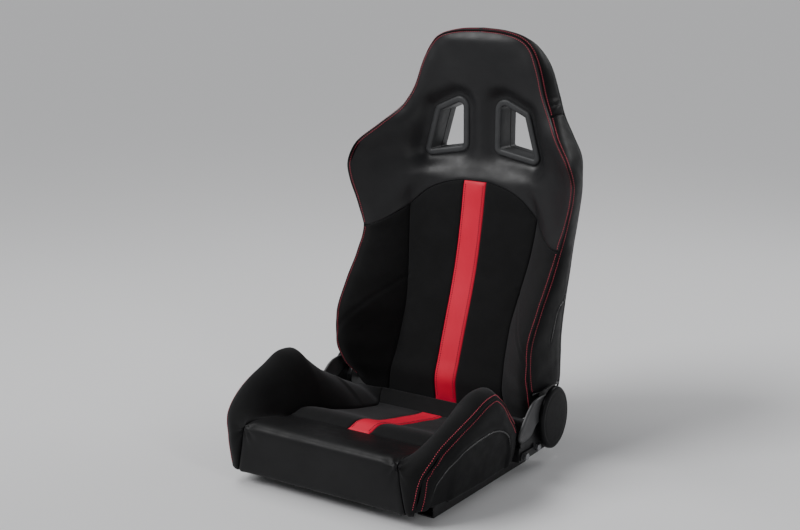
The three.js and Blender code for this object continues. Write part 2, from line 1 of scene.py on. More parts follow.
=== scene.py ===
"""Racing seat: upholstery, stitching, hardware and studio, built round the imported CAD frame.
Shapes are worked out in millimetres, in the CAD's own frame, and written to Blender in metres."""
import json
import math

import bpy
import numpy as np
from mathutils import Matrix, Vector
from mathutils.bvhtree import BVHTree
from mathutils.geometry import delaunay_2d_cdt


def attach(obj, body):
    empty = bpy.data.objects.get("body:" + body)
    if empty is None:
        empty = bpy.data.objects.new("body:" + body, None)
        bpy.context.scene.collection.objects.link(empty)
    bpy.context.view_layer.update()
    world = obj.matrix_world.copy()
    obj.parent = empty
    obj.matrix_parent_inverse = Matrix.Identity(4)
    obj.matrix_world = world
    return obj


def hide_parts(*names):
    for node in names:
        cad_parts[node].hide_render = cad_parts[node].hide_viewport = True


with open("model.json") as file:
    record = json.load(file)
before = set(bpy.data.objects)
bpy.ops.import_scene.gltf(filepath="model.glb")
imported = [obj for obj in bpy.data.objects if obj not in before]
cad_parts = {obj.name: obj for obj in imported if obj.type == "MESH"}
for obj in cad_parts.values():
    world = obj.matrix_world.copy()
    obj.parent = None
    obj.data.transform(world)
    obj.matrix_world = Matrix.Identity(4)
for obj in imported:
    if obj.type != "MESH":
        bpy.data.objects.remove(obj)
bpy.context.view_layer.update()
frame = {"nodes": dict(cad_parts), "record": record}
MM = 0.001

# ---------------------------------------------------------------- driving dimensions, mm
GAP = 0.6           # between two covers that are sewn together
FILL = 4.6          # spacing of the points inside a padded panel
EDGE_RINGS = (0.5, 1.3, 2.5, 4.2, 6.6)   # rows of points in from a panel's edge
STRIPE = 27         # half the width of the red stripe
STRIPE_TOP = 28.2   # and at its top
BACK_LOW = 78       # underside of the back's foam
SHELL_LOW = 104     # lower edge of the rear shell
SHELL = 14          # thickness of the rear shell
CHANNEL = 28        # room for the frame between foam and shell
NECK = 712          # where the side covers end and the head's cover starts
SIDE_LOW = 158      # lower edge of the back's side covers
CORNER_X = 223      # the back's bottom corner
BAND = 7.1          # half the width of a harness bezel's band
FACE = 267          # front of the harness bezels
REAR_FACE = 339     # rear of the harness bezels
ROLL_REAR = -201    # seam between the front roll and the cushion's inserts
REAR_SEAM = 75      # seam between the inserts and the cushion's rear pad
CUSHION_REAR = 116
HEM = 27            # lower edge of the cushion's front
PAN_FRONT = -300
SEAM_ROUND = 3.2    # how far in from an outer seam a cover rounds over
VALLEY = (2.8, 5.5)     # depth and reach of the dip along an inner seam
WELT_RADIUS = 1.5
STITCH = 2.9        # length of one stitch
PITCH = 4.9         # from one stitch to the next
THREAD = 0.78       # radius of the thread
STITCH_IN = 5       # from a seam to the stitches beside it
STITCH_RINGS = 6    # rings along one stitch, and points round each ring
TUBE_SIDES = 10     # points round a welt or a piping
BATCH = 1500        # points measured at a time, to save memory
SIDES = ((1, "right"), (-1, "left"))


# ---------------------------------------------------------------- curves
def columns(*values):
    """Points from one row of numbers for each coordinate; a single number is repeated."""
    return np.stack(np.broadcast_arrays(*values), axis=-1).astype(float)


def unit(vectors):
    return vectors / np.maximum(np.linalg.norm(vectors, axis=-1), 1e-9)[..., None]


def left(run):
    """Unit normals on the left of 2-D runs."""
    return unit(columns(-run[:, 1], run[:, 0]))


def run_length(line):
    """The length along a polyline at each of its points."""
    return np.append(0, np.cumsum(np.linalg.norm(np.diff(line, axis=0), axis=1)))


def through(*pairs):
    """A smooth function through (position, value) pairs, level past its ends, no overshoot."""
    at = np.array([p[0] for p in pairs], float)
    value = np.array([p[1] for p in pairs], float)
    slope = np.diff(value) / np.diff(at)
    before = np.append(0.0, slope)
    after = np.append(slope, 0.0)
    total = np.where(before + after == 0, 1, before + after)
    tangent = np.where(before * after > 0, 2 * before * after / total, 0)

    def evaluate(x):
        x = np.clip(np.asarray(x, float), at[0], at[-1])
        i = np.clip(np.searchsorted(at, x) - 1, 0, len(at) - 2)
        width = at[i + 1] - at[i]
        t = (x - at[i]) / width
        ends = value[i] * (1 + 2 * t) * (1 - t) ** 2 + value[i + 1] * t * t * (3 - 2 * t)
        return ends + width * (tangent[i] * t * (1 - t) ** 2 + tangent[i + 1] * t * t * (t - 1))

    return evaluate


def spline(points):
    """A centripetal Catmull-Rom curve through 3-D points, as a function of 0 to 1."""
    p = np.array(points, float)
    p = np.vstack([2 * p[0] - p[1], p, 2 * p[-1] - p[-2]])
    count = len(points) - 1

    def evaluate(t):
        along = np.clip(np.atleast_1d(np.asarray(t, float)), 0, 1) * count
        i = np.minimum(along.astype(int), count - 1)
        w = (along - i)[:, None]
        p0, p1, p2, p3 = (p[i + k] for k in range(4))
        d0, d1, d2 = (
            np.sqrt(np.linalg.norm(b - a, axis=1))[:, None] for a, b in ((p0, p1), (p1, p2), (p2, p3))
        )
        t1 = ((p1 - p0) / d0 - (p2 - p0) / (d0 + d1) + (p2 - p1) / d1) * d1
        t2 = ((p2 - p1) / d1 - (p3 - p1) / (d1 + d2) + (p3 - p2) / d2) * d1
        cubic = (2 * p1 - 2 * p2 + t1 + t2) * w ** 3
        return cubic + (-3 * p1 + 3 * p2 - 2 * t1 - t2) * w ** 2 + t1 * w + p1

    return evaluate


def step(low, high, x):
    """0 below low, 1 above high, and smooth between."""
    t = np.clip((x - low) / (high - low), 0, 1)
    return t * t * (3 - 2 * t)


def roll(distance, radius):
    """A rounded edge: 1 at the edge, falling to 0 at the radius, steep at the edge itself."""
    t = np.clip(1 - distance / radius, 0, 1)
    return 1 - np.sqrt(np.maximum(1 - t * t, 0))


def resample(line, spacing):
    """The same polyline with points evenly spaced, ends kept."""
    line = np.asarray(line, float)
    length = run_length(line)
    count = max(int(round(length[-1] / spacing)), 2)
    at = np.linspace(0, length[-1], count + 1)
    return columns(*(np.interp(at, length, part) for part in line.T))


def graph(curve, low, high, count):
    """Part of a curve, as 2-D points of position and value."""
    at = np.linspace(low, high, count)
    return columns(at, curve(at))


def loop_of(*sides, spacing=4.2):
    """One closed loop from sides that run on from each other."""
    return np.vstack([resample(side, spacing)[:-1] for side in sides])


def nearest(points, line, closed=False):
    """Distance from 2-D points to a polyline, and the left-hand normal of the nearest segment."""
    line = np.asarray(line, float)
    start = line if closed else line[:-1]
    end = np.roll(line, -1, axis=0) if closed else line[1:]
    run = end - start
    size = np.maximum((run ** 2).sum(1), 1e-9)
    distance = np.empty(len(points))
    which = np.empty(len(points), int)
    for first in range(0, len(points), BATCH):
        some = slice(first, first + BATCH)
        part = points[some, None, :] - start[None]
        t = np.clip((part * run).sum(2) / size, 0, 1)
        gap = ((part - t[..., None] * run) ** 2).sum(2)
        which[some] = gap.argmin(1)
        distance[some] = np.sqrt(gap.min(1))
    return distance, left(run[which])


def inside(points, polygon):
    """Which 2-D points lie inside a polygon."""
    x, z = points.T
    result = np.zeros(len(points), bool)
    for (x0, z0), (x1, z1) in zip(polygon, np.roll(polygon, -1, axis=0)):
        if z0 != z1:
            crosses = (z0 > z) != (z1 > z)
            result ^= crosses & (x < (x1 - x0) * (z - z0) / (z1 - z0) + x0)
    return result


def inward(loop):
    """Unit normals that point into a closed loop."""
    x, z = loop.T
    area = (x * np.roll(z, -1) - np.roll(x, -1) * z).sum()
    return left(np.roll(loop, -1, axis=0) - np.roll(loop, 1, axis=0)) * np.sign(area)


def shrink(loop, amount):
    return loop + inward(loop) * amount


def flipped(points):
    return points * np.array([-1, 1, 1])


def two_sided(points, side):
    return points if side > 0 else flipped(points)


def mirror2(line):
    """A 2-D line's mirror image, run the other way."""
    return line[::-1] * np.array([-1, 1])


def both_halves(half):
    """A whole line from its right half, which starts on the middle."""
    return np.vstack([mirror2(half)[:-1], half])


# ---------------------------------------------------------------- meshes
def fill(loops, spacing=FILL):
    """Points and triangles that fill the first loop, less the other loops."""
    def within(points):
        good = inside(points, loops[0])
        for hole in loops[1:]:
            good &= ~inside(points, hole)
        return good

    def kept(points, clear):
        distance = np.min([nearest(points, loop, True)[0] for loop in loops], axis=0)
        return points[within(points) & (distance > clear)]

    parts = list(loops)
    for k, loop in enumerate(loops):
        normal = inward(loop) * (1 if k == 0 else -1)
        for row, depth in enumerate(EDGE_RINGS):
            ring = loop + normal * depth
            if row % 2:
                ring = (ring + np.roll(ring, -1, axis=0)) / 2
            parts.append(kept(ring, depth * 0.94))
    low, high = loops[0].min(0), loops[0].max(0)
    rows = np.arange(low[1], high[1], spacing * 0.866)
    across = np.arange(low[0], high[0], spacing)
    grid = np.array([(x + (r % 2) * spacing / 2, z) for r, z in enumerate(rows) for x in across])
    parts.append(kept(grid, EDGE_RINGS[-1] + spacing * 0.5))

    numbers = iter(range(sum(len(loop) for loop in loops)))
    rings = [[next(numbers) for _ in loop] for loop in loops]
    edges = [pair for ring in rings for pair in zip(ring, ring[1:] + ring[:1])]
    result = delaunay_2d_cdt([Vector(p) for p in np.vstack(parts)], edges, [], 1, 1e-4)
    flat = np.array([tuple(v) for v in result[0]])
    faces = np.array(result[2])
    faces = faces[within(flat[faces].mean(1))]
    used = np.unique(faces)
    number = -np.ones(len(flat), int)
    number[used] = np.arange(len(used))
    place = {old: number[new] for new, olds in enumerate(result[3]) for old in olds}
    rims = [np.array([place[i] for i in ring]) for ring in rings]
    return flat[used], number[faces], rims


def between(front, back, triangles, rims, middle=None):
    """Points and faces of the solid between two copies of one filled panel."""
    count = len(front)
    faces = [tuple(t) for t in triangles] + [tuple(t[::-1] + count) for t in triangles]
    edges = {e for a, b, c in triangles for e in ((a, b), (b, c), (c, a))}
    offset = 2 * count
    for rim in rims:
        size = len(rim)
        for i in range(size):
            j = (i + 1) % size
            a, b, m, n = rim[i], rim[j], offset + i, offset + j
            if (a, b) not in edges:
                a, b, m, n = b, a, n, m
            if middle is None:
                faces.append((b, a, a + count, b + count))
            else:
                faces.append((b, a, m, n))
                faces.append((n, m, a + count, b + count))
        offset += size
    return np.vstack([front, back, *(middle or [])]), faces


def band(outer, inner):
    """Points and faces of the solid between two equal grids."""
    rows, columns = outer.shape[:2]
    points = np.vstack([outer.reshape(-1, 3), inner.reshape(-1, 3)])
    at = np.arange(rows * columns).reshape(rows, columns)
    low = rows * columns
    faces = []
    for i in range(rows - 1):
        for j in range(columns - 1):
            a, b, c, d = at[i, j], at[i, j + 1], at[i + 1, j + 1], at[i + 1, j]
            faces.append((a, b, c, d))
            faces.append((d + low, c + low, b + low, a + low))
    ring = list(at[0, :]) + list(at[1:, -1]) + list(at[-1, -2::-1]) + list(at[-2:0:-1, 0])
    for a, b in zip(ring, ring[1:] + ring[:1]):
        faces.append((b, a, a + low, b + low))
    return points, faces


def tube_faces(rows, sides, closed=False):
    """Faces between rings that all have the same count of points."""
    faces = []
    for i in range(rows if closed else rows - 1):
        n = (i + 1) % rows
        for j in range(sides):
            k = (j + 1) % sides
            faces.append((i * sides + j, i * sides + k, n * sides + k, n * sides + j))
    return faces


def lofted(rings):
    """Points and faces of a solid through rings of points, with flat ends."""
    rows, sides = rings.shape[:2]
    last = (rows - 1) * sides
    ends = [tuple(range(sides))[::-1], tuple(range(last, last + sides))]
    return rings.reshape(-1, 3), tube_faces(rows, sides) + ends


def circles(side, up, count):
    """A unit circle of points for each pair of directions."""
    angle = np.arange(count)[:, None] * 2 * math.pi / count
    return np.cos(angle) * side[:, None] + np.sin(angle) * up[:, None]


def sweep(path, radius, taper):
    """A round tube along 3-D points, with its ends drawn in to a rounded tip."""
    tangent = unit(np.gradient(path, axis=0))
    side = unit(np.cross(tangent, [0.31, 0.17, 0.93]))
    length = run_length(path)
    ends = np.minimum(length, length[-1] - length)
    tip = 1 - np.clip(ends / max(taper, radius), 0.02, 1)
    size = radius * np.sqrt(np.clip(1 - tip ** 2, 0.04, 1))
    around = circles(side, np.cross(side, tangent), TUBE_SIDES)
    return lofted(path[:, None] + around * size[:, None, None])


def joined(parts):
    """Several point and face lists as one."""
    points, faces, offset = [], [], 0
    for some, loops in parts:
        points.append(some)
        faces += [tuple(i + offset for i in face) for face in loops]
        offset += len(some)
    return np.vstack(points), faces


def volume(points, faces):
    total = 0.0
    for face in faces:
        for k in range(1, len(face) - 1):
            a, b, c = points[face[0]], points[face[k]], points[face[k + 1]]
            total += a @ np.cross(b, c)
    return total


def add_object(name, data):
    obj = bpy.data.objects.new(name, data)
    bpy.context.scene.collection.objects.link(obj)
    return obj


PIECES = {}


def add(name, solid, material, body, slot, node=None, fullness=None, angle=48):
    """A finished piece from points and faces in millimetres, its faces turned outward. It rides on
    a body, takes the material it is given, and may stand for a CAD node. The slot is not used."""
    points, faces = solid
    faces = [tuple(int(i) for i in face) for face in faces]
    if volume(points, faces) < 0:
        faces = [face[::-1] for face in faces]
    mesh = bpy.data.meshes.new(name)
    mesh.from_pydata((points * MM).tolist(), [], faces)
    mesh.update()
    mesh.shade_smooth()
    mesh.set_sharp_from_angle(angle=math.radians(angle))
    mesh.materials.append(material)
    obj = add_object(name, mesh)
    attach(obj, body)
    if node:
        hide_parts(node)
    PIECES[name] = obj


def add_pair(name, solid, material, body, slot, node, fullness=None, angle=48):
    """A piece on the right and its mirror image; {} in the names stands for the side."""
    points, faces = solid
    for side, word in SIDES:
        both = (two_sided(points, side), faces)
        add(name.format(word), both, material, body, slot, node.format(word), fullness, angle)


# ---------------------------------------------------------------- materials
class Shader:
    """Small helper round one material's node tree."""

    def __init__(self, name):
        self.material = bpy.data.materials.new(name)
        self.material.use_nodes = True
        self.tree = self.material.node_tree
        self.surface = self.tree.nodes["Principled BSDF"]
        self.place = self.tree.nodes.new("ShaderNodeTexCoord").outputs["Object"]

    def feed(self, node, socket, value):
        """Gives a node's input a value, or another node's output."""
        if isinstance(value, bpy.types.NodeSocket):
            self.tree.links.new(value, node.inputs[socket])
        else:
            node.inputs[socket].default_value = value

    def node(self, kind, settings=(), **inputs):
        made = self.tree.nodes.new(kind)
        for key, value in dict(settings).items():
            setattr(made, key, value)
        for key, value in inputs.items():
            socket = int(key[1:]) if key[0] == "_" else key.replace("_", " ")
            self.feed(made, socket, value)
        return made

    def noise(self, scale, detail=2.0, roughness=0.5, distortion=0.0):
        made = self.node(
            "ShaderNodeTexNoise", Vector=self.place, Scale=scale, Detail=detail,
            Roughness=roughness, Distortion=distortion,
        )
        return made.outputs["Fac"]

    def cells(self, scale, warp=0.0, feature="F1"):
        place = self.place
        if warp:
            wobble = self.node("ShaderNodeTexNoise", Vector=self.place, Scale=scale * 0.4)
            place = self.node(
                "ShaderNodeVectorMath", {"operation": "MULTIPLY_ADD"},
                _0=wobble.outputs["Color"], _1=(warp / scale,) * 3, _2=self.place,
            ).outputs[0]
        made = self.node("ShaderNodeTexVoronoi", {"feature": feature}, Vector=place, Scale=scale)
        return made.outputs["Distance"]

    def math(self, operation, a, b=0.0):
        return self.node("ShaderNodeMath", {"operation": operation}, _0=a, _1=b).outputs[0]

    def between(self, value, low, high, to_low=0.0, to_high=1.0):
        return self.node(
            "ShaderNodeMapRange", _0=value, _1=low, _2=high, _3=to_low, _4=to_high,
        ).outputs[0]

    def blend(self, value, first, second):
        colours = {"_6": (*first, 1), "_7": (*second, 1)}
        return self.node("ShaderNodeMix", {"data_type": "RGBA"}, _0=value, **colours).outputs[2]

    def set(self, **inputs):
        for key, value in inputs.items():
            self.feed(self.surface, key.replace("_", " "), value)

    def bump(self, *layers):
        """Layers of (height, strength, distance in metres), the first one underneath."""
        normal = None
        for height, strength, distance in layers:
            made = self.node("ShaderNodeBump", Height=height, Strength=strength, Distance=distance)
            if normal is not None:
                self.feed(made, "Normal", normal)
            normal = made.outputs["Normal"]
        self.feed(self.surface, "Normal", normal)


def leather(name, colour, worn, gloss, shine):
    """Grained leatherette: pebbled cells, soft creases, and a sheen that varies."""
    s = Shader(name)
    drift = s.noise(9, 3)
    pebble = s.cells(820, warp=0.5)
    crease = s.noise(150, 4, 0.6, 0.6)
    s.set(
        Base_Color=s.blend(s.between(drift, 0.35, 0.7), colour, worn),
        Roughness=s.between(s.noise(45, 3), 0.3, 0.7, gloss - 0.05, gloss + 0.07),
        Specular_IOR_Level=shine,
    )
    s.bump((crease, 0.12, 0.0006), (pebble, 0.22, 0.00035))
    return s.material


def suede(name, dark, light):
    """Brushed microsuede: a fine nap, lighter where it is brushed the other way."""
    s = Shader(name)
    brushed = s.noise(16, 4, 0.6, 0.8)
    nap = s.noise(1900, 2, 0.7)
    s.set(
        Base_Color=s.blend(s.between(brushed, 0.35, 0.68), dark, light),
        Roughness=s.between(nap, 0.3, 0.7, 0.82, 1.0),
        Specular_IOR_Level=0.25,
        Sheen_Weight=0.14,
        Sheen_Roughness=0.45,
        Sheen_Tint=(0.55, 0.55, 0.58, 1),
    )
    s.bump((nap, 0.35, 0.0004), (s.noise(420, 3), 0.12, 0.0005))
    return s.material


def woven(name, dark, light, pitch):
    """Plain cloth: two crossed sets of threads."""
    s = Shader(name)
    turns = 2 * math.pi / pitch
    part = s.node("ShaderNodeSeparateXYZ", _0=s.place)
    across = s.math("SINE", s.math("MULTIPLY", part.outputs[0], turns))
    up = s.math("SINE", s.math("MULTIPLY", part.outputs[2], turns))
    weave = s.math("MULTIPLY", across, up)
    s.set(
        Base_Color=s.blend(s.between(weave, -0.6, 0.6), dark, light),
        Roughness=0.85,
        Sheen_Weight=0.12,
        Sheen_Roughness=0.5,
    )
    s.bump((s.noise(30, 3), 0.1, 0.002), (weave, 0.35, 0.0003))
    return s.material


def moulded(name, colour, worn, gloss, shine):
    """Moulded plastic with a fine spark-eroded texture."""
    s = Shader(name)
    spark = s.cells(1500, feature="SMOOTH_F1")
    s.set(
        Base_Color=s.blend(s.between(s.noise(60, 4), 0.35, 0.7), colour, worn),
        Roughness=s.between(s.noise(120, 3), 0.3, 0.7, gloss - 0.05, gloss + 0.06),
        Specular_IOR_Level=shine,
    )
    s.bump((spark, 0.12, 0.0002), (s.noise(500, 2), 0.05, 0.0002))
    return s.material


def painted(name, colour, worn, gloss):
    """Powder-coated steel: slight orange peel, and specks where the coat is thin."""
    s = Shader(name)
    specks = s.between(s.noise(380, 4, 0.7), 0.66, 0.72)
    s.set(
        Base_Color=s.blend(specks, colour, worn),
        Roughness=s.between(s.noise(90, 3), 0.3, 0.7, gloss - 0.06, gloss + 0.08),
        Metallic=s.between(specks, 0, 1, 0.1, 0.5),
    )
    s.bump((s.noise(330, 2), 0.18, 0.0004),)
    return s.material


def plated(name, colour, worn):
    """Zinc-plated steel with drawn lines and faint staining."""
    s = Shader(name)
    lines = s.node(
        "ShaderNodeTexNoise", Scale=240.0, Detail=3.0,
        Vector=s.node("ShaderNodeMapping", _0=s.place, _3=(1, 14, 1)).outputs[0],
    ).outputs["Fac"]
    s.set(
        Base_Color=s.blend(s.between(s.noise(40, 4), 0.35, 0.7), colour, worn),
        Metallic=1.0,
        Roughness=s.between(lines, 0.3, 0.7, 0.26, 0.46),
    )
    s.bump((lines, 0.06, 0.0002),)
    return s.material


def thread(name, colour, worn):
    """Twisted sewing thread."""
    s = Shader(name)
    twist = s.node(
        "ShaderNodeTexWave", {"bands_direction": "DIAGONAL"},
        Vector=s.place, Scale=900.0, Distortion=0.6,
    ).outputs["Fac"]
    s.set(Base_Color=s.blend(twist, colour, worn), Roughness=0.6, Sheen_Weight=0.3)
    s.bump((twist, 0.4, 0.0002),)
    return s.material


LEATHER = leather("leatherette", (0.012, 0.012, 0.013), (0.017, 0.017, 0.018), 0.42, 0.28)
LEVER_GREY = moulded("lever_plastic", (0.040, 0.040, 0.042), (0.052, 0.052, 0.054), 0.34, 0.5)
# Darker copy of the leatherette for the side covers: painted shade, so the sides stay darker than the lit
# front under any lamp.
SHADED_SIDE_LEATHER = leather(
    "shaded_side_leatherette", (0.0045, 0.0045, 0.005), (0.0070, 0.0070, 0.0075), 0.46, 0.10,
)
# Darker copy of the leatherette for the front roll: painted shade on a face that is turned away from the
# light.
SHADED_ROLL_LEATHER = leather(
    "shaded_roll_leatherette", (0.0065, 0.0065, 0.007), (0.010, 0.010, 0.0105), 0.46, 0.20,
)
RED = leather("red_leatherette", (0.70, 0.010, 0.042), (0.76, 0.014, 0.052), 0.50, 0.18)
SUEDE = suede("suede", (0.0023, 0.0023, 0.0025), (0.0046, 0.0046, 0.0050))
CLOTH = woven("shell_cloth", (0.007, 0.007, 0.0075), (0.014, 0.014, 0.015), 0.0016)
WEBBING = woven("webbing", (0.015, 0.015, 0.015), (0.03, 0.03, 0.03), 0.0024)
BEZEL = moulded("bezel_plastic", (0.034, 0.035, 0.037), (0.042, 0.043, 0.045), 0.5, 0.4)
PLASTIC = moulded(
    "moulded_plastic", (0.0035, 0.0035, 0.004), (0.0055, 0.0055, 0.006), 0.34, 0.12,
)
STEEL = painted("painted_steel", (0.012, 0.012, 0.013), (0.05, 0.05, 0.05), 0.42)
ZINC = plated("plated_steel", (0.45, 0.46, 0.48), (0.33, 0.33, 0.34))
RED_THREAD = thread("red_thread", (0.66, 0.035, 0.085), (0.50, 0.020, 0.05))
DARK_THREAD = thread("dark_red_thread", (0.10, 0.004, 0.010), (0.07, 0.003, 0.007))
# Welts and piping: a base colour lighter than the leatherette, a painted highlight along them; the lower
# roughness and higher specular are the piping's own finish.
PIPING_PAINTED_HIGHLIGHT = leather("piping", (0.030, 0.030, 0.031), (0.042, 0.042, 0.043), 0.27, 0.6)


# ---------------------------------------------------------------- the back's shape, as in the CAD
SEAM = [
    (223, 112, 100), (240, 78, 150), (245, 58, 205), (245, 60, 260), (246, 98, 330), (246, 142, 390),
    (249, 170, 445), (264, 168, 495), (280, 160, 550), (283, 158, 590), (266, 164, 630), (226, 194, 670),
    (188, 233, 710), (164, 247, 752), (144, 253, 812), (126, 256, 848), (106, 254, 868), (60, 254, 882),
    (0, 255, 886),
]
REAR = [
    (230, 176, 100), (245, 190, 150), (246, 194, 205), (246, 195, 260), (246, 209, 330), (246, 226, 390),
    (246, 240, 445), (248, 252, 495), (250, 262, 550), (249, 266, 590), (242, 274, 630), (214, 288, 670),
    (186, 300, 710), (168, 308, 752), (146, 308, 812), (124, 301, 846), (100, 292, 866), (56, 290, 877),
    (0, 294, 880),
]
HEAD_BLEND = 60     # height above the arch where the head is one smooth cup
SIDE_KEYS = 17      # how many of those points climb, before the top of the head
back_middle = through(
    (78, 130), (110, 126), (129, 124), (178, 139), (253, 165), (328, 192), (405, 214), (484, 230),
    (554, 242), (580, 252), (608, 261), (640, 264.5), (690, 264.5), (733, 260), (780, 251),
    (806, 248), (832, 248.5), (860, 251), (886, 257),
)
insert_edge = through(
    (78, 152), (140, 143), (200, 137), (260, 136), (340, 145), (420, 157), (500, 163), (580, 150),
    (680, 140), (740, 130), (800, 110), (886, 60),
)
arch = through(
    (0, 557), (30, 557), (60, 552), (90, 543), (120, 528), (150, 503), (180, 477), (210, 456), (240, 444),
    (300, 440),
)
rear_middle = through(
    (84, 188), (150, 222), (250, 258), (330, 284), (400, 304), (500, 325), (600, 336), (700, 339),
    (800, 332), (886, 296),
)
rear_edge = through(
    (84, 172), (150, 190), (260, 195), (330, 209), (400, 229), (500, 253), (600, 267), (700, 298),
    (800, 308), (886, 290),
)
seam_x = through(*[(z, x) for x, y, z in SEAM[:SIDE_KEYS]])
seam_y = through(*[(z, y) for x, y, z in SEAM[:SIDE_KEYS]])
rear_x = through(*[(z, x) for x, y, z in REAR[:SIDE_KEYS]])
seam_curve = spline(SEAM)
rear_curve = spline(REAR)


def back_front(x, z):
    inner = insert_edge(z)
    t = np.clip((np.abs(x) - inner) / (seam_x(z) - inner), 0, 1.15)
    share = t * (1.7 - 0.7 * t)
    cupped = np.clip(np.abs(x) / np.maximum(seam_x(z), 1), 0, 1.15) ** 2.7
    head = step(-4, HEAD_BLEND, z - arch(np.abs(x)))
    return back_middle(z) + (seam_y(z) - back_middle(z)) * (share + (cupped - share) * head)


def back_rear(x, z):
    t = np.clip(np.abs(x) / rear_x(z), 0, 1.15)
    return rear_middle(z) + (rear_edge(z) - rear_middle(z)) * t ** 2.4


def settle(rule, value):
    """A value that a rule gives back unchanged, found by repeating the rule."""
    for _ in range(60):
        value = float(rule(value))
    return value


TIP_Z = settle(lambda z: arch(seam_x(z)), 444)         # the arch meets the outer seam
MEET_Z = settle(lambda z: arch(insert_edge(z)), 495)   # the arch meets the insert's seam
TIP_X = float(seam_x(TIP_Z))
MEET_X = float(insert_edge(MEET_Z))


def seam_parameter(height):
    """The outer seam's parameter at a height on its way up."""
    t = np.linspace(0, 1, 4001)
    return float(t[np.argmax(seam_curve(t)[:, 2] >= height)])


def seam_line(low, high, count=300):
    """Part of the outer seam, between two parameters, as X and Z."""
    return seam_curve(np.linspace(low, high, count))[:, [0, 2]]


LOW_BEND = 165      # beyond this the back's underside curves up to its corners
LOW_RISE = 22       # and by this much
stripe_top = float(arch(STRIPE))
arch_half = graph(arch, 0, TIP_X, 120)
arch_line = both_halves(arch_half)
insert_line = graph(insert_edge, BACK_LOW, MEET_Z, 120)[:, ::-1]
stripe_line = np.array([(STRIPE, BACK_LOW), (STRIPE_TOP, stripe_top)], float)
low_bend = graph(
    lambda x: BACK_LOW + LOW_RISE * ((x - LOW_BEND) / (CORNER_X - LOW_BEND)) ** 2,
    LOW_BEND, CORNER_X, 30,
)
low_line = both_halves(np.vstack([[(0, BACK_LOW)], low_bend]))
TIP_T = seam_parameter(TIP_Z)
outer_half = seam_line(0, 1, 700)
outer_line = np.vstack([outer_half[:-1], mirror2(outer_half)])
BACK_SEAMS = [arch_line, low_line]
BACK_SEAMS += [insert_line, mirror2(insert_line), stripe_line, mirror2(stripe_line)]

# ---------------------------------------------------------------- harness slots
SLOT = [(41, 740), (113, 707), (142, 605), (40, 624)]   # corners of the band's centre line
SLOT_ROUND = (17, 8, 9, 13)                             # how far each corner is rounded


def slot_loop(grow, side=1, arc=9, straight=7):
    """The slot's rounded outline, grown or shrunk, with the same count of points each time."""
    corners = np.array(SLOT, float)
    centre = corners.mean(0)
    normal = left(np.roll(corners, -1, axis=0) - corners)
    outward = np.sign(((corners - centre) * normal).sum(1))[:, None] * normal
    points = []
    for i in range(4):
        before, after = outward[i - 1], outward[i]
        spread = before + after
        corner = corners[i] + spread * grow / (1 + before @ after)
        radius = max(SLOT_ROUND[i] + grow, 1.5)
        middle = corner - spread * radius / (1 + before @ after)
        start = math.atan2(before[1], before[0])
        sweep_by = (math.atan2(after[1], after[0]) - start + math.pi) % (2 * math.pi) - math.pi
        turn = start + np.linspace(0, 1, arc) * sweep_by
        points.append(middle + radius * columns(np.cos(turn), np.sin(turn)))
    loop = []
    for i in range(4):
        start, end = points[i][-1], points[(i + 1) % 4][0]
        t = (np.arange(1, straight) / straight)[:, None]
        loop += [points[i], start + (end - start) * t]
    loop = np.vstack(loop)
    return loop if side > 0 else mirror2(loop)


DISH = 21           # how far the dish round a harness slot reaches
SLOT_LOOPS = [slot_loop(BAND, side) for side in (1, -1)]
SLOT_HOLES = [slot_loop(BAND - 2, side) for side in (1, -1)]
LUMBAR_CREASE = np.array([(139, 340), (182, 299), (217, 261), (240, 230), (252, 188)], float)


def to_slots(xz):
    """Distance from each point to the nearer slot's outline."""
    return np.min([nearest(xz, loop, True)[0] for loop in SLOT_LOOPS], axis=0)


def waves(u, v, size, seed=0.0):
    """Slow, smooth unevenness between -1 and 1, of about that size in millimetres."""
    a = np.sin((u * 1.31 + v * 0.57) / size + seed) * np.cos((v * 1.13 - u * 0.41) / size + 1.7 * seed)
    b = np.sin((u * 0.71 - v * 1.61) / (size * 0.63) + 2.1 + seed)
    return 0.6 * a + 0.4 * b * np.cos(u / (size * 1.9) + seed)


def back_skin(xz):
    """The front of the back's upholstery at (X, Z): Y, with seams, crowns and creases."""
    x, z = xz.T
    outer = nearest(xz, outer_line)[0]
    seams = np.min([nearest(xz, line)[0] for line in BACK_SEAMS], axis=0)
    slots = to_slots(xz)
    slots[inside(xz, SLOT_LOOPS[0]) | inside(xz, SLOT_LOOPS[1])] = 0
    head = step(-2, 2, z - arch(np.abs(x)))
    y = back_front(x, z)
    # the rounded outer edge, then the dips and crowns between the inner seams
    wide, crown = np.exp(-(outer / 42) ** 2), 1 - np.exp(-seams / 24)
    y = y - (4.0 + 3.5 * (1 - head)) * (wide - np.exp(-(outer / 15) ** 2))
    y += 1.3 * roll(outer, SEAM_ROUND) + VALLEY[0] * roll(seams, VALLEY[1]) - 2.6 * crown
    y += (1.6 * crown + 2.5 * step(810, 860, z) * wide) * head
    # each harness slot lies at the bottom of its own dish
    y += (FACE + 4.5 - y) * np.exp(-(slots / DISH) ** 2)
    # the crease across the bolster at the height of the waist
    for line in (LUMBAR_CREASE, mirror2(LUMBAR_CREASE)):
        away = nearest(xz, line)[0]
        y += 1.1 * np.exp(-(away / 3.5) ** 2) - 0.7 * np.exp(-((away - 9) / 6) ** 2)
    quiet = np.minimum(seams, outer) / 12
    return y + 0.55 * waves(x, z, 34, 0.4) * np.clip(quiet, 0, 1)


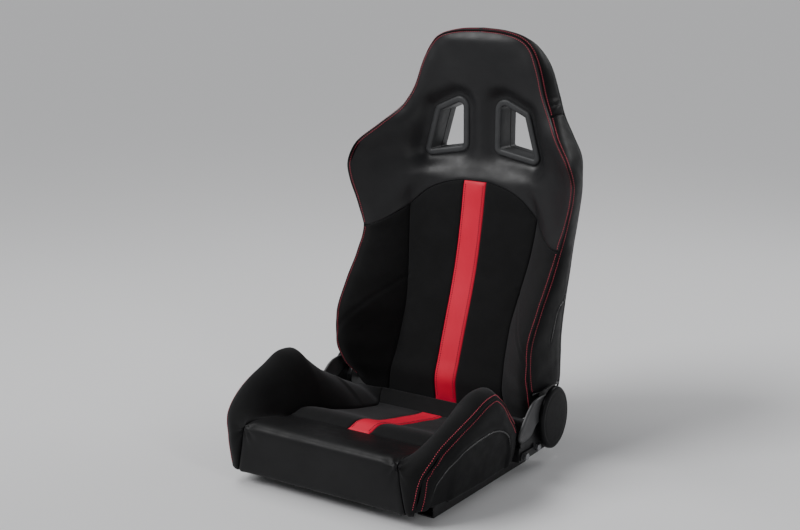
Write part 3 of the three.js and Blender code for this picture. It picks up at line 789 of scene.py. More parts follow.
def padded_back(xz):
    """Front, back and rim positions of a foam panel of the back, from its flat points."""
    outer, normal = nearest(xz, outer_line)
    front = columns(xz[:, 0], back_skin(xz), xz[:, 1])
    pulled = xz + normal * (12 * np.exp(-outer / 24))[:, None]
    x, z = pulled.T
    deep = np.maximum(back_rear(x, z) - SHELL - CHANNEL, back_front(x, z) + 14)
    back = columns(x, deep, z)
    middle = back.copy()
    middle[:, 1] = np.minimum(front[:, 1] + 10, deep - 1)
    return front, back, middle


def back_panel(loops):
    """The solid of one foam panel of the back."""
    points, triangles, rims = fill([shrink(loops[0], GAP / 2)] + loops[1:])
    front, back, middle = padded_back(points)
    return between(front, back, triangles, rims, [middle[rim] for rim in rims])


def build_back():
    side = seam_line(TIP_T, 1)
    head = back_panel([loop_of(arch_line, side, mirror2(side))] + SLOT_HOLES)
    top = arch_line[np.abs(arch_line[:, 0]) <= STRIPE_TOP]
    edge = resample(stripe_line, 4)
    foot = [(-STRIPE, BACK_LOW), (STRIPE, BACK_LOW)]
    stripe = back_panel([loop_of(foot, edge, top[::-1], mirror2(edge))])
    for name, solid, material, slot in (
        ("head_shoulder_pad", head, LEATHER, "leatherette"),
        ("back_stripe", stripe, RED, "red_leatherette"),
    ):
        add(f"{name}_padding", solid, material, "backrest", slot, name, 0.8)

    part = arch_half[(arch_half[:, 0] > STRIPE_TOP) & (arch_half[:, 0] < MEET_X)]
    insert = loop_of(
        [(STRIPE, BACK_LOW), (insert_line[0, 0], BACK_LOW)],
        insert_line,
        np.vstack([insert_line[-1:], part[::-1], stripe_line[-1:]]),
        stripe_line[::-1],
    )
    part = arch_half[arch_half[:, 0] > MEET_X]
    bolster = loop_of(
        np.vstack([[insert_line[0]], low_bend]),
        seam_line(0, TIP_T),
        np.vstack([part[::-1], insert_line[-1:]]),
        insert_line[::-1],
    )
    for name, loop in (("back_insert_{}", insert), ("back_bolster_{}", bolster)):
        solid = back_panel([loop])
        add_pair(name + "_padding", solid, SUEDE, "backrest", "suede", name, 0.8)


# ---------------------------------------------------------------- rear shell
def shell_skin(xz):
    x, z = xz.T
    edge = nearest(xz, shell_outline, True)[0]
    y = back_rear(x, z) - 5 * roll(edge, 12)
    y += (REAR_FACE - 4 - y) * np.exp(-(to_slots(xz) / 24) ** 2)
    panel_seam = np.abs(np.abs(x) - (96 + 0.06 * (z - 300)))
    reach = 1 - step(560, 600, z)
    return y - 1.8 * roll(panel_seam, 6) * reach + 0.5 * waves(x, z, 60, 1.9)


shell_half = rear_curve(np.linspace(seam_parameter(SHELL_LOW), 1, 400))[:, [0, 2]]
shell_half = shell_half[shell_half[:, 1] >= SHELL_LOW]
shell_foot = [(-shell_half[0, 0], SHELL_LOW), (shell_half[0, 0], SHELL_LOW)]
shell_outline = shrink(loop_of(shell_foot, shell_half, mirror2(shell_half), spacing=6), 3.5)


def build_shell():
    points, triangles, rims = fill([shell_outline] + SLOT_HOLES, 7)
    x, z = points.T
    front = columns(x, shell_skin(points), z)
    back = columns(x, back_rear(x, z) - SHELL, z)
    solid = between(front, back, triangles, rims)
    add("back_shell_trimmed", solid, CLOTH, "backrest", "shell_cloth", "back_shell")


# ---------------------------------------------------------------- side covers of the back
WELT = np.array([(221, 371), (209, 350), (192, 334), (170, 326), (154, 302), (137, 258)], float)


def rows_of(length, spacing):
    """Positions across a width, crowded towards both of its edges."""
    near = [0.0, *EDGE_RINGS]
    count = max(int((length - 2 * near[-1]) / spacing), 1)
    middle = np.linspace(near[-1], length - near[-1], count + 1)[1:-1]
    return np.array([*near, *middle, *[length - n for n in near[::-1]]]) / length


def outward(curve, t):
    """Unit normals of one of the back's edges, in the plane of X and Z."""
    tangent = curve(t + 1e-4) - curve(t - 1e-4)
    return unit(columns(tangent[:, 2], 0, -tangent[:, 0]))


def side_grid(t, share, head):
    """A grid over the side of the back: rows along the seam, columns from seam to rear edge."""
    front, rear = seam_curve(t), rear_curve(t)
    width = np.linalg.norm(rear - front, axis=1)[:, None]
    along = run_length(front)[:, None]
    grid = front[:, None] + (rear - front)[:, None] * share[:, None]
    away = np.minimum(share, 1 - share) * width
    # the head's cover has no lower seam at its second end, which is the middle of the head
    away_end = along if head else np.minimum(along, along[-1] - along)
    lift = 5 * 4 * share * (1 - share) * np.minimum(1, width / 60)
    lift = lift + 3.2 * (1 - np.exp(-(away / 14) ** 2)) - 1.2 * roll(away, SEAM_ROUND)
    lift = lift - 2.4 * roll(away_end, 7)
    lift = lift + 0.6 * waves(grid[..., 1], grid[..., 2], 26, 0.9) * np.clip(away / 15, 0, 1)
    return grid, lift, width


def neck_pleat(grid):
    """Creases where the head's cover bends round the neck."""
    y, z = grid[..., 1], grid[..., 2]
    fold = 0
    for height, slope, depth in ((733, 0.16, 2.4), (745, 0.05, 1.1)):
        away = z - height - slope * (y - 280)
        reach = step(250, 262, y) * (1 - step(288, 304, y))
        shape = np.exp(-(away / 2.6) ** 2) - 0.7 * np.exp(-((away + 6) / 4) ** 2)
        fold = fold + depth * shape * reach
    return -fold


def side_cover(t, head):
    """Outer and inner grids of one cover on the side of the back."""
    share = rows_of(62 if head else 110, 5)
    grid, lift, width = side_grid(t, share, head)
    normal = outward(seam_curve, t)[:, None]
    if head:
        lift = lift + neck_pleat(grid)
    else:
        distance = nearest(grid[..., 1:].reshape(-1, 2), WELT)[0].reshape(lift.shape)
        lift = lift - 1.4 * np.exp(-(distance / 3.0) ** 2)
    squeezed = np.clip(share + 6 / width * (1 - 2 * share), 0, 1)
    front, rear = seam_curve(t)[:, None], rear_curve(t)[:, None]
    inner = front + (rear - front) * squeezed[..., None] - normal * 6.5
    return grid + normal * lift[..., None], inner


def build_side_covers():
    low, neck = seam_parameter(SIDE_LOW), seam_parameter(NECK)
    gap = 0.0006        # of the seam's whole length, on each side of the neck
    name = "back_side_cover_{}"
    solid = band(*side_cover(np.linspace(low, neck - gap, 150), False))
    add_pair(name + "_padding", solid, SHADED_SIDE_LEATHER, "backrest", "leatherette", name, 0.5)
    name = "head_side_cover"
    halves = side_cover(np.linspace(neck + gap, 1, 76), True)
    solid = band(*(np.vstack([half[:-1], flipped(half)[::-1]]) for half in halves))
    add(f"{name}_padding", solid, SHADED_SIDE_LEATHER, "backrest", "leatherette", name, 0.5)


# ---------------------------------------------------------------- the cushion's shape
cushion_middle = through(
    (-339, 128), (-326, 133), (-300, 131), (-250, 122), (-201, 114), (-165, 121), (-91, 99), (-13, 83),
    (75, 69), (100, 81), (CUSHION_REAR, 90),
)
cushion_insert = through(
    (-339, 188), (-240, 184), (-201, 174), (-174, 170), (-131, 160), (-81, 145), (-23, 129), (47, 130),
    (CUSHION_REAR, 158),
)
cushion_edge = through(
    (-339, 212), (-328, 232), (-311, 242), (-290, 247), (-248, 254), (-188, 257), (-136, 258), (-4, 252),
    (4, 232), (CUSHION_REAR, 230),
)
bolster_crest = through(
    (-339, 112), (-326, 126), (-311, 140), (-290, 158), (-248, 182), (-188, 205), (-136, 222), (-112, 220),
    (-83, 195), (-30, 153), (43, 109), (100, 86), (CUSHION_REAR, 84),
)
outer_seam = through(
    (-329, 90), (-323, 110), (-311, 130), (-290, 150), (-248, 170), (-188, 190), (-136, 206), (-112, 208),
    (-82, 191), (-45, 146), (-13, 109), (0, 92), (40, 78), (CUSHION_REAR, 70),
)
COVER_FRONT, COVER_REAR, COVER_LOW = -326, -8, 36
CREST = 0.76        # how far out across the bolster its crest lies
SIDE_STEP = 8       # the side cover's outer face beyond the cushion's edge


def cover_tuck(y, z):
    """How far the side cover draws in towards its lower edge."""
    slope = np.where(y < -240, 0.2 - 0.05 * step(-260, -240, y), 0.15)
    return slope * np.maximum(130 - z, 0)


def cushion_rim(y):
    """X of the cushion's outer seam; behind the side cover the bolster stands back a little."""
    return cushion_edge(y) + (SIDE_STEP - cover_tuck(y, outer_seam(y))) * (1 - step(-10, -2, y))


def pan_top(y):
    return 62 - (np.clip(y, PAN_FRONT, 70) - PAN_FRONT) * 24 / 370


def cushion_top(x, y):
    inner, rim = cushion_insert(y), cushion_rim(y)
    t = np.clip((np.abs(x) - inner) / (rim - inner), 0, 1.1)
    middle, crest, low = cushion_middle(y), bolster_crest(y), outer_seam(y)
    climb = middle + (crest - middle) * np.sin(math.pi / 2 * np.clip(t / CREST, 0, 1))
    fall = crest - (crest - low) * ((t - CREST) / (1 - CREST)) ** 2
    return np.where(t < CREST, climb, fall)


def front_y(x):
    return -339 + 13 * np.clip((np.abs(x) - 192) / 46, 0, 1.3) ** 2


SECTION_STEP = 2.0
SECTION_X = np.arange(0, 272, SECTION_STEP)
SECTION_V = np.arange(-470, CUSHION_REAR + 2, SECTION_STEP)
TURN = -300         # V and Y where the cushion's top starts to turn down into its front
LIP_ROUND = 9.0     # how softly it does


def cushion_sections():
    """For each X, the run from the rear over the top and down the front, by its own length.
    V equals Y back from TURN, and goes on as the length along the surface in front of that."""
    ys, zs = [], []
    for x in SECTION_X:
        front = float(front_y(x))
        top = np.arange(CUSHION_REAR + 40, front, -1.0)
        height = cushion_top(x, np.minimum(top, CUSHION_REAR))
        drop = np.arange(height[-1], HEM - 60, -1.0)
        lean = 0.05 * (height[-1] - drop)
        line = resample(np.vstack([columns(top, height), columns(front + lean, drop)]), 1.0)
        window = np.exp(-(np.arange(-18, 19) / LIP_ROUND) ** 2)
        window /= window.sum()
        smooth = columns(*(np.convolve(part, window, "valid") for part in line.T))
        back = line[18:-18]
        weight = step(-240, TURN, back[:, 0])[:, None]
        line = back * (1 - weight) + smooth * weight
        length = run_length(line)
        start = np.interp(-TURN, -line[:, 0], length)
        v = np.where(line[:, 0] > TURN, line[:, 0], TURN - (length - start))
        order = np.argsort(v)
        ys.append(np.interp(SECTION_V, v[order], line[order, 0]))
        zs.append(np.interp(SECTION_V, v[order], line[order, 1]))
    return np.array(ys), np.array(zs)


SECTION_Y, SECTION_Z = cushion_sections()


def look_up(table, x, v):
    """Bilinear value of a section table."""
    i = np.clip(np.abs(x) / SECTION_STEP, 0, len(SECTION_X) - 1.001)
    j = np.clip((v - SECTION_V[0]) / SECTION_STEP, 0, len(SECTION_V) - 1.001)
    a, b = i.astype(int), j.astype(int)
    s, t = i - a, j - b
    low = table[a, b] * (1 - t) + table[a, b + 1] * t
    high = table[a + 1, b] * (1 - t) + table[a + 1, b + 1] * t
    return low * (1 - s) + high * s


def v_at(x, z):
    """V where the section at X comes down to a height, in front of the turn."""
    heights = SECTION_Z[int(round(abs(x) / SECTION_STEP))]
    front = SECTION_V < TURN
    return float(np.interp(z, heights[front], SECTION_V[front]))


def cushion_point(xv):
    x, v = xv.T
    return columns(x, look_up(SECTION_Y, x, v), look_up(SECTION_Z, x, v))


def hem_line(low, high, count=80):
    x = np.linspace(low, high, count)
    return np.array([(a, v_at(a, HEM)) for a in x])


def rim_line():
    """The cushion's outer seam from the rear to the bottom of its front corner, as X and V."""
    v = np.arange(CUSHION_REAR, COVER_FRONT + 14, -3.0)
    high = columns(cushion_rim(v), v)
    high = high[high[:, 1] > TURN]
    rows = []
    for y in np.linspace(TURN - 1, COVER_FRONT, 10):
        x = float(cushion_rim(y))
        rows.append((x, v_at(x, float(outer_seam(y)))))
    for z in np.linspace(float(outer_seam(COVER_FRONT)) - 6, HEM, 14):
        x = float(cushion_edge(COVER_FRONT) + SIDE_STEP - cover_tuck(COVER_FRONT, z))
        rows.append((x, v_at(x, z)))
    return np.vstack([high, rows])


ROLL_TOP = 174          # half the front roll's width at its rear seam
ROLL_SIDE = 187         # at its lip
ROLL_FOOT = 204         # and at the hem
LIP_V = -345            # V of the lip
PINCH = (184, -343)     # where the roll's cover is gathered at its front corners
rim = rim_line()
roll_side = np.vstack([
    np.linspace((ROLL_TOP, ROLL_REAR), (ROLL_SIDE, LIP_V), 60),
    resample([(ROLL_SIDE, LIP_V), (ROLL_FOOT, v_at(ROLL_FOOT, HEM))], 4)[1:],
])
insert_side = graph(cushion_insert, CUSHION_REAR, ROLL_REAR, 100)[:, ::-1]
rear_half = float(cushion_insert(REAR_SEAM))
roll_seam = np.linspace((-ROLL_TOP, ROLL_REAR), (ROLL_TOP, ROLL_REAR), 60)
rear_seam = np.linspace((-rear_half, REAR_SEAM), (rear_half, REAR_SEAM), 50)
stripe_side = np.linspace((STRIPE, ROLL_REAR), (STRIPE, REAR_SEAM), 60)
rear_line = np.linspace((-230, CUSHION_REAR), (230, CUSHION_REAR), 60)
CUSHION_SEAMS = [roll_seam, rear_seam, rear_line, stripe_side, mirror2(stripe_side)]
CUSHION_SEAMS += [insert_side, mirror2(insert_side), roll_side, mirror2(roll_side)]
HEM_LINE = hem_line(-242, 242)


def cushion_solid(xv):
    """Top, underside and rim positions of a cushion panel, from its flat points."""
    x, v = xv.T
    base = cushion_point(xv)
    du = cushion_point(xv + [0.5, 0]) - cushion_point(xv - [0.5, 0])
    dv = cushion_point(xv + [0, 0.5]) - cushion_point(xv - [0, 0.5])
    normal = unit(np.cross(du, dv))
    outer = np.minimum(nearest(xv, rim)[0], nearest(xv, mirror2(rim))[0])
    seams = np.min([nearest(xv, line)[0] for line in CUSHION_SEAMS], axis=0)
    split = np.minimum(nearest(xv, roll_side)[0], nearest(xv, mirror2(roll_side))[0])
    hem = nearest(xv, HEM_LINE)[0]
    lift = 6.0 * (np.exp(-(outer / 36) ** 2) - np.exp(-(outer / 14) ** 2))
    lift -= 1.3 * roll(outer, SEAM_ROUND)
    lift -= VALLEY[0] * roll(seams, VALLEY[1]) - 2.2 * (1 - np.exp(-seams / 22))
    lift -= 5.0 * roll(split, 11) * step(-285, -335, v)
    lift -= 4.0 * roll(hem, 9)
    pinch = np.hypot(np.abs(x) - PINCH[0], (v - PINCH[1]) * 0.8)
    turn = np.arctan2(v - PINCH[1], PINCH[0] - np.abs(x))
    lift += (2.2 * np.cos(7 * turn + 0.6) - 2.4) * np.exp(-((pinch - 9) / 14) ** 2)
    calm = np.clip(np.minimum(np.minimum(seams, outer), hem) / 12, 0, 1)
    lift += 0.5 * waves(x, v, 30, 2.3) * calm
    top = base + normal * lift[:, None]

    pulled = np.sign(x) * np.minimum(np.abs(x), np.abs(x) - 9 * np.exp(-outer / 22))
    ahead = np.clip((TURN - v) / 150, 0, 1)
    under_y = np.maximum(base[:, 1], PAN_FRONT - 1)
    under_z = np.where(v > TURN, pan_top(under_y) + 1, pan_top(PAN_FRONT) + 1 - ahead * 34)
    beside = (np.abs(pulled) > 216) & (under_y > -238)
    under_z = np.where(beside, np.maximum(under_z, 62), under_z)
    under_z = np.where(under_y > 66, 52, under_z)
    behind_cover = cushion_edge(under_y) + SIDE_STEP - cover_tuck(under_y, under_z) - 11
    pulled = np.sign(x) * np.minimum(np.abs(pulled), behind_cover)
    low = columns(pulled, under_y, under_z)
    middle = top * 0.72 + low * 0.28
    middle[:, 0] = pulled
    return top, low, middle


def cushion_panel(name, loop, material, slot, put=add):
    points, triangles, rims = fill([shrink(loop, GAP / 2)])
    top, low, middle = cushion_solid(points)
    solid = between(top, low, triangles, rims, [middle[rim] for rim in rims])
    put(name + "_padding", solid, material, "base", slot, name, 0.75)


def build_cushion():
    """Each panel's loop, side by side; a straight side is given by its two ends."""
    wide = float(cushion_insert(CUSHION_REAR))
    front = loop_of(roll_side, hem_line(ROLL_FOOT, -ROLL_FOOT), mirror2(roll_side), roll_seam)
    cushion_panel("seat_front_roll", front, SHADED_ROLL_LEATHER, "leatherette")
    stripe = loop_of(
        [(-STRIPE, ROLL_REAR), (STRIPE, ROLL_REAR)], stripe_side,
        [(STRIPE, REAR_SEAM), (-STRIPE, REAR_SEAM)], mirror2(stripe_side),
    )
    cushion_panel("seat_stripe", stripe, RED, "red_leatherette")
    corner = [(rear_half, REAR_SEAM)]
    behind = np.vstack([insert_side[insert_side[:, 1] > REAR_SEAM], corner])
    rear_pad = loop_of(
        rear_seam, behind[::-1],
        [(wide, CUSHION_REAR), (-wide, CUSHION_REAR)], mirror2(behind[::-1]),
    )
    cushion_panel("seat_rear_pad", rear_pad, SUEDE, "suede")
    beside = np.vstack([corner, insert_side[insert_side[:, 1] <= REAR_SEAM]])
    insert = loop_of(
        stripe_side[::-1], [(STRIPE, ROLL_REAR), (ROLL_TOP, ROLL_REAR)],
        beside[::-1], [(rear_half, REAR_SEAM), (STRIPE, REAR_SEAM)],
    )
    cushion_panel("seat_insert_{}", insert, SUEDE, "suede", add_pair)
    bolster = loop_of(
        rim, hem_line(float(rim[-1, 0]), ROLL_FOOT, 20), roll_side[::-1], insert_side[::-1],
        [(wide, CUSHION_REAR), (float(rim[0, 0]), CUSHION_REAR)],
    )
    cushion_panel("seat_bolster_{}", bolster, SUEDE, "suede", add_pair)


# ---------------------------------------------------------------- side covers of the cushion
COVER_WELT = np.array([
    (-303, 36), (-303, 62), (-298, 87), (-274, 114), (-235, 134), (-181, 143), (-128, 145), (-93, 136),
    (-60, 112), (-46, 80), (-42, 36),
], float)


def seat_side_surface(y, share):
    """The cushion's side cover without its welt: X and Z over Y and the share of its height."""
    z = COVER_LOW + (outer_seam(y) - COVER_LOW) * share
    bow = 3 * 4 * share * (1 - share)
    return cushion_edge(y) + SIDE_STEP - cover_tuck(y, z) + bow, z


COVER_BLEND = -12       # Y behind which the seat's side cover keeps the same section


def build_seat_side_covers():
    length = COVER_REAR - COVER_FRONT
    y = COVER_FRONT + rows_of(length, 4) * length
    yy, ss = np.meshgrid(y, rows_of(120, 4), indexing="ij")
    edge_y = np.minimum(yy, COVER_BLEND)
    x, z = seat_side_surface(edge_y, ss)
    ahead = (front_y(x) + 0.8 - COVER_FRONT) * (1 - step(0, 40, yy - COVER_FRONT))
    grid = columns(x, yy + ahead, z)
    normal = unit(np.cross(np.gradient(grid, axis=0), np.gradient(grid, axis=1)))
    normal *= np.sign(normal[..., :1] + 1e-9)
    height = z - COVER_LOW
    top = (outer_seam(edge_y) - COVER_LOW) - height
    away = np.minimum(np.minimum(top, yy - COVER_FRONT), COVER_REAR - yy)
    yz = grid[..., 1:].reshape(-1, 2)
    welt = nearest(yz, COVER_WELT)[0].reshape(x.shape)
    signed = np.where(inside(yz, COVER_WELT).reshape(x.shape), welt, -welt)
    lift = 3.4 * (1 - np.exp(-(away / 13) ** 2)) - 1.2 * roll(away, SEAM_ROUND) - 3.0 * roll(height, 8)
    lift -= 2.6 * step(-1, 4, signed) + 0.9 * np.exp(-(welt / 2.5) ** 2)
    lift += 1.6 * np.exp(-((signed + 9) / 7) ** 2)
    lift += 0.5 * waves(yy, z, 28, 3.1) * np.clip(away / 14, 0, 1)
    squeeze_y = COVER_FRONT + 5 + (length - 10) * (yy - COVER_FRONT) / length
    x_in, z_in = seat_side_surface(np.minimum(squeeze_y, COVER_BLEND), ss * 0.96)
    solid = band(grid + normal * lift[..., None], columns(x_in - 6, squeeze_y + ahead, z_in))
    name = "seat_side_cover_{}"
    add_pair(name + "_padding", solid, SHADED_SIDE_LEATHER, "base", "leatherette", name, 0.5)


# ---------------------------------------------------------------- stitches and welts laid on the covers
class Surface:
    """A finished piece that stitches and welts are laid on."""

    def __init__(self, name):
        mesh = PIECES[name].data
        vertices = [v.co for v in mesh.vertices]
        self.tree = BVHTree.FromPolygons(vertices, [p.vertices[:] for p in mesh.polygons])

    def nearest(self, path):
        """The piece's nearest points to a path, and its normals there."""
        hits = [self.tree.find_nearest(Vector(point) * MM) for point in path]
        return np.array([h[0] for h in hits]) / MM, np.array([h[1] for h in hits])


def on_both(name, path):
    """A path and its mirror image, each with its piece; {} in the name stands for the side."""
    return [(Surface(name.format(word)), two_sided(path, side)) for side, word in SIDES]


def stitch_row(surface, path):
    """Points and faces of a row of stitches along a path on a surface."""
    path = resample(path, 1.0)
    at = np.arange(len(path))
    share = np.linspace(-1, 1, STITCH_RINGS)
    size = THREAD * np.sqrt(1 - (0.93 * share) ** 2)
    rise = THREAD * (0.75 - 0.9 * share ** 4)
    stitches = []
    for start in np.arange(2.0, at[-1] - STITCH, PITCH):
        picks = start + np.linspace(0, STITCH, STITCH_RINGS)
        line = columns(*(np.interp(picks, at, part) for part in path.T))
        spine, up = surface.nearest(line)
        side = unit(np.cross(unit(np.gradient(spine, axis=0)), up))
        centre = spine + up * rise[:, None]
        around = circles(side, up, STITCH_RINGS) * size[:, None, None]
        stitches.append(lofted(centre[:, None] + around))
    return joined(stitches)


def add_stitches(name, body, rows, material):
    solid = joined([stitch_row(surface, path) for surface, path in rows])
    add(name, solid, material, body, "red_leatherette", angle=80)


def back_row(low, high):
    """A row on the back's front covers, in from the outer seam."""
    flat = seam_line(low, high, 400)
    flat = flat + left(np.gradient(flat, axis=0)) * STITCH_IN
    return columns(flat[:, 0], back_skin(flat), flat[:, 1])


def side_row(low, high):
    """A row on the back's side covers, behind the outer seam."""
    t = np.linspace(low, high, 400)
    front = seam_curve(t)
    return front + unit(rear_curve(t) - front) * STITCH_IN + outward(seam_curve, t) * 4


def build_stitching():
    low, neck = seam_parameter(SIDE_LOW), seam_parameter(NECK)
    rows = on_both("back_bolster_{}_padding", back_row(0.012, TIP_T - 0.004))
    rows += on_both("head_shoulder_pad_padding", back_row(TIP_T + 0.004, 1))
    rows += on_both("back_side_cover_{}_padding", side_row(low + 0.004, neck - 0.003))
    rows += on_both("head_side_cover_padding", side_row(neck + 0.003, 1))
    add_stitches("back_seam_stitching", "backrest", rows, RED_THREAD)

    z = np.linspace(BACK_LOW + 14, stripe_top - 4, 200)
    x = STRIPE - 6 + (STRIPE_TOP - STRIPE) * (z - BACK_LOW) / (stripe_top - BACK_LOW)
    rows = on_both("back_stripe_padding", columns(x, back_skin(columns(x, z)), z))
    add_stitches("back_stripe_stitching", "backrest", rows, DARK_THREAD)

    v = np.linspace(ROLL_REAR + 6, REAR_SEAM - 6, 200)
    rows = on_both("seat_stripe_padding", cushion_point(columns(STRIPE - 6, v)))
    add_stitches("seat_stripe_stitching", "base", rows, DARK_THREAD)

    line = resample(rim[rim[:, 1] < COVER_REAR - 6], 3)[:-4]
    top = cushion_point(line - left(np.gradient(line, axis=0)) * STITCH_IN)
    y = np.linspace(COVER_REAR - 6, COVER_FRONT, 300)
    front = np.arange(float(outer_seam(COVER_FRONT)) - 3, COVER_LOW + 2, -3)
    edge = resample(np.vstack([columns(y, outer_seam(y)), columns(COVER_FRONT, front)]), 6)
    y, z = (edge + left(np.gradient(edge, axis=0)) * STITCH_IN).T
    x, z = seat_side_surface(y, (z - COVER_LOW) / (outer_seam(y) - COVER_LOW))
    rows = on_both("seat_bolster_{}_padding", top)
    rows += on_both("seat_side_cover_{}_padding", columns(x + 4, y, z))
    add_stitches("seat_seam_stitching", "base", rows, RED_THREAD)


def add_piping(name, body, path, radius, taper):
    add(name, sweep(path, radius, taper), PIPING_PAINTED_HIGHLIGHT, body, "leatherette", angle=60)


def add_welts(name, cover, body, path, taper):
    """A welt pressed on to each of a pair of covers."""
    for (surface, line), (_, word) in zip(on_both(cover, path), SIDES):
        place, normal = surface.nearest(resample(line, 3))
        add_piping(name.format(word), body, place + normal * WELT_RADIUS / 4, WELT_RADIUS, taper)


def build_welts():
    smooth = spline([(270, y, z) for y, z in COVER_WELT[1:-1]])(np.linspace(0.02, 0.98, 120))
    add_welts("seat_side_welt_{}", "seat_side_cover_{}_padding", "base", smooth, 60)
    smooth = spline([(256, y, z) for y, z in WELT])(np.linspace(0, 1, 90))
    add_welts("back_side_welt_{}", "back_side_cover_{}_padding", "backrest", smooth, 25)

    low = seam_parameter(SIDE_LOW)
    start, end = seam_curve(low), rear_curve(low)
    hem = start + (end - start) * np.linspace(0.02, 0.97, 40)[:, None] + [3, 0, -1]
    for side, word in SIDES:
        add_piping(f"back_side_hem_{word}", "backrest", two_sided(hem, side), 2.0, 4)

    t = np.linspace(seam_parameter(SHELL_LOW + 2), 1, 200)
    normal = outward(rear_curve, t)
    normal[-1] = normal[-2]
    half = rear_curve(t) - normal * 0.6
    path = resample(np.vstack([half[:-1], flipped(half)[::-1]]), 5)
    add_piping("shell_edge_piping", "backrest", path, 2.3, 4)


# ---------------------------------------------------------------- harness bezels
BEZEL_LIP = [       # outward from the band's centre line, and depth behind its face
    (7.1, 7.0), (7.2, 4.5), (6.7, 2.4), (5.4, 0.9), (3.4, 0.1), (0.4, -0.1), (-2.6, 0.2),
    (-4.9, 1.0), (-6.4, 2.4), (-7.1, 4.4),
]
SLEEVE = (-7.0, -4.5)   # inner and outer face of the sleeve in the slot, from the same line


def add_bezels(name, profile):
    """A pair of rings whose section is a profile of outward distance and Y."""
    rings = np.array([np.insert(slot_loop(grow), 1, y, axis=1) for grow, y in profile])
    solid = rings.reshape(-1, 3), tube_faces(*rings.shape[:2], closed=True)
    add_pair(name + "_ring", solid, BEZEL, "backrest", "bezel_plastic", name, angle=40)


def build_bezels():
    inner, outer = SLEEVE
    front = [(grow, FACE + y) for grow, y in BEZEL_LIP]
    front += [(inner, 290), (inner + 0.1, 312), (outer, 312), (outer, 290), (outer, FACE + 7)]
    rear = [(grow, REAR_FACE - y - 0.1) for grow, y in BEZEL_LIP]
    rear += [(inner, 314), (outer, 314), (outer, 332)]
    add_bezels("harness_bezel_{}", front)
    add_bezels("harness_bezel_rear_{}", rear)


# ---------------------------------------------------------------- recliner covers and levers
COVER_MIDDLE = (131, 98)    # Y and Z
COVER_HALF = (57, 67)       # half its length and half its height
COVER_SIDES = 96
COVER_PROFILE = [           # share of the outline, and X: over the back, round the rim, over the face
    (0.15, 269.5), (0.5, 269.4), (0.9, 268.6), (0.93, 264.0), (0.985, 262.6), (1.0, 263.2),
    (1.0, 266.5), (0.992, 268.9), (0.972, 270.7), (0.945, 271.8), (0.91, 272.5), (0.87, 272.9),
    (0.845, 272.7), (0.825, 272.7), (0.80, 273.0), (0.70, 273.3), (0.55, 273.6), (0.35, 273.9),
    (0.15, 274.0),
]
LEVER = [                   # the paddle's outline, Y and Z
    (158, 96), (156, 124), (137, 146), (95, 154), (55, 149), (28, 130), (6, 107), (-5, 87), (4, 78),
    (28, 77), (48, 81), (66, 96), (80, 102), (100, 96), (124, 79), (146, 80), (158, 96),
]


def build_recliners():
    turn = np.arange(COVER_SIDES) * 2 * math.pi / COVER_SIDES
    y, z = COVER_HALF[0] * np.cos(turn), COVER_HALF[1] * np.sin(turn)
    cap = lofted(np.array([
        columns(x, COVER_MIDDLE[0] + share * y, COVER_MIDDLE[1] + share * z)
        for share, x in COVER_PROFILE
    ]))
    outline = spline([(0, y, z) for y, z in LEVER])(np.linspace(0, 1, 400))[:, 1:]
    outline = resample(outline, 3)[:-1]
    flat, triangles, rims = fill([outline], 4)
    edge = nearest(flat, outline, True)[0]
    y, z = flat.T
    dish = 1.3 * (1 - np.exp(-(edge / 9) ** 2)) * step(120, 80, y)
    out = 2.2 * np.clip((118 - y) / 125, 0, 1) ** 2
    face = columns(261.8 + out - 2.8 * roll(edge, 4.5) - dish, y, z)
    rear = columns(255.0 + out * 0.7 + 1.6 * roll(edge, 3), y, z)
    paddle = between(face, rear, triangles, rims)
    slot = "moulded_plastic"
    name = "recliner_cover_{}"
    add_pair(name + "_cap", cap, PLASTIC, "base", slot, name, angle=40)
    name = "recline_lever_{}"
    add_pair(name + "_paddle", paddle, LEVER_GREY, "release", slot, name, angle=50)


# ---------------------------------------------------------------- CAD nodes that stay
def finish_cad_nodes():
    """Real materials and softened edges for the metal and webbing that the CAD already has right."""
    looks = {"painted_steel": STEEL, "plated_steel": ZINC, "webbing": WEBBING}
    for row in frame["record"]["subparts"]:
        node = frame["nodes"][row["node"]]
        if node.hide_render:
            continue
        node.data.materials.clear()
        node.data.materials.append(looks[row["material_slot"]])
        weld = node.modifiers.new("weld", "WELD")
        weld.merge_threshold = 0.02 * MM
        bevel = node.modifiers.new("bevel", "BEVEL")
        bevel.width = 0.7 * MM
        bevel.segments = 2
        bevel.limit_method = "ANGLE"
        bevel.angle_limit = math.radians(35)
        bevel.harden_normals = False


# ---------------------------------------------------------------- studio and camera, in metres
FLOOR_RADIUS = 60.0
FLOOR_SIDES = 64
FLOOR_DROP = -0.0004        # just below the seat's lowest point
HORIZON, ZENITH = 0.50, 0.20        # brightness of the walls at the floor, and overhead
WALL_FADE = (0.04, 0.34)            # heights between which it changes
CAMERA_PLACE = (1.5931, -2.4077, 1.1182)
CAMERA_TILT = 76.35         # degrees up from looking straight down
CAMERA_TURN = 34.05         # degrees to the seat's left of straight ahead
LENS, SENSOR = 64.33, 36    # mm


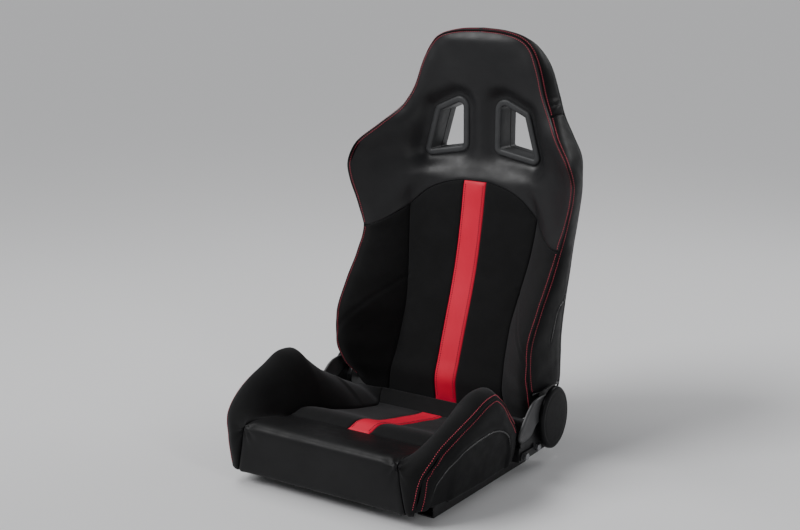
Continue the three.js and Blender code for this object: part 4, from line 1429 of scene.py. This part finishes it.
def build_studio():
    turn = np.arange(FLOOR_SIDES) * 2 * math.pi / FLOOR_SIDES
    points = FLOOR_RADIUS * columns(np.cos(turn), np.sin(turn), 0) + [0, 0, FLOOR_DROP]
    mesh = bpy.data.meshes.new("studio_floor")
    mesh.from_pydata(points.tolist(), [], [tuple(range(FLOOR_SIDES))])
    s = Shader("studio_floor")
    s.set(Base_Color=(0.80, 0.80, 0.81, 1), Roughness=0.8, Specular_IOR_Level=0.2)
    mesh.materials.append(s.material)
    add_object("studio_floor", mesh)

    world = bpy.data.worlds.new("studio")
    world.use_nodes = True
    nodes, links = world.node_tree.nodes, world.node_tree.links
    place = nodes.new("ShaderNodeTexCoord")
    height = nodes.new("ShaderNodeSeparateXYZ")
    fade = nodes.new("ShaderNodeMapRange")
    links.new(place.outputs["Generated"], height.inputs[0])
    links.new(height.outputs[2], fade.inputs[0])
    for socket, value in enumerate((*WALL_FADE, HORIZON, ZENITH), 1):
        fade.inputs[socket].default_value = value
    links.new(fade.outputs[0], nodes["Background"].inputs[1])
    nodes["Background"].inputs[0].default_value = (0.97, 0.98, 1.0, 1)
    bpy.context.scene.world = world


def light(name, kind, direction, energy):
    obj = add_object(name, bpy.data.lights.new(name, kind))
    obj.data.energy = energy
    obj.rotation_euler = Vector(direction).to_track_quat("-Z", "Y").to_euler()
    return obj


def sun_light(name, source, strength, spread):
    light(name, "SUN", -Vector(source), strength).data.angle = math.radians(spread)


def area_light(name, place, target, size, power):
    obj = light(name, "AREA", Vector(target) - Vector(place), power)
    obj.location = place
    obj.data.shape = "RECTANGLE"
    obj.data.size, obj.data.size_y = size


def build_camera():
    camera = bpy.data.cameras.new("camera")
    camera.lens = LENS
    camera.sensor_width = SENSOR
    obj = add_object("camera", camera)
    obj.location = CAMERA_PLACE
    obj.rotation_euler = (math.radians(CAMERA_TILT), 0, math.radians(CAMERA_TURN))
    bpy.context.scene.camera = obj


build_camera()
build_back()
build_shell()
build_side_covers()
build_cushion()
build_seat_side_covers()
build_stitching()
build_welts()
build_bezels()
build_recliners()
finish_cad_nodes()
build_studio()
sun_light("key", (-0.50, -0.62, 0.72), 2.0, 28)
area_light("top", (-1.3, -0.1, 2.5), (0, -0.1, 0.3), (1.4, 1.0), 26)
area_light("strip", (2.5, -1.0, 1.3), (0.2, -0.05, 0.45), (0.28, 1.7), 13)
area_light("back", (0.9, 2.2, 1.9), (0.2, -0.1, 0.2), (1.4, 0.5), 14)
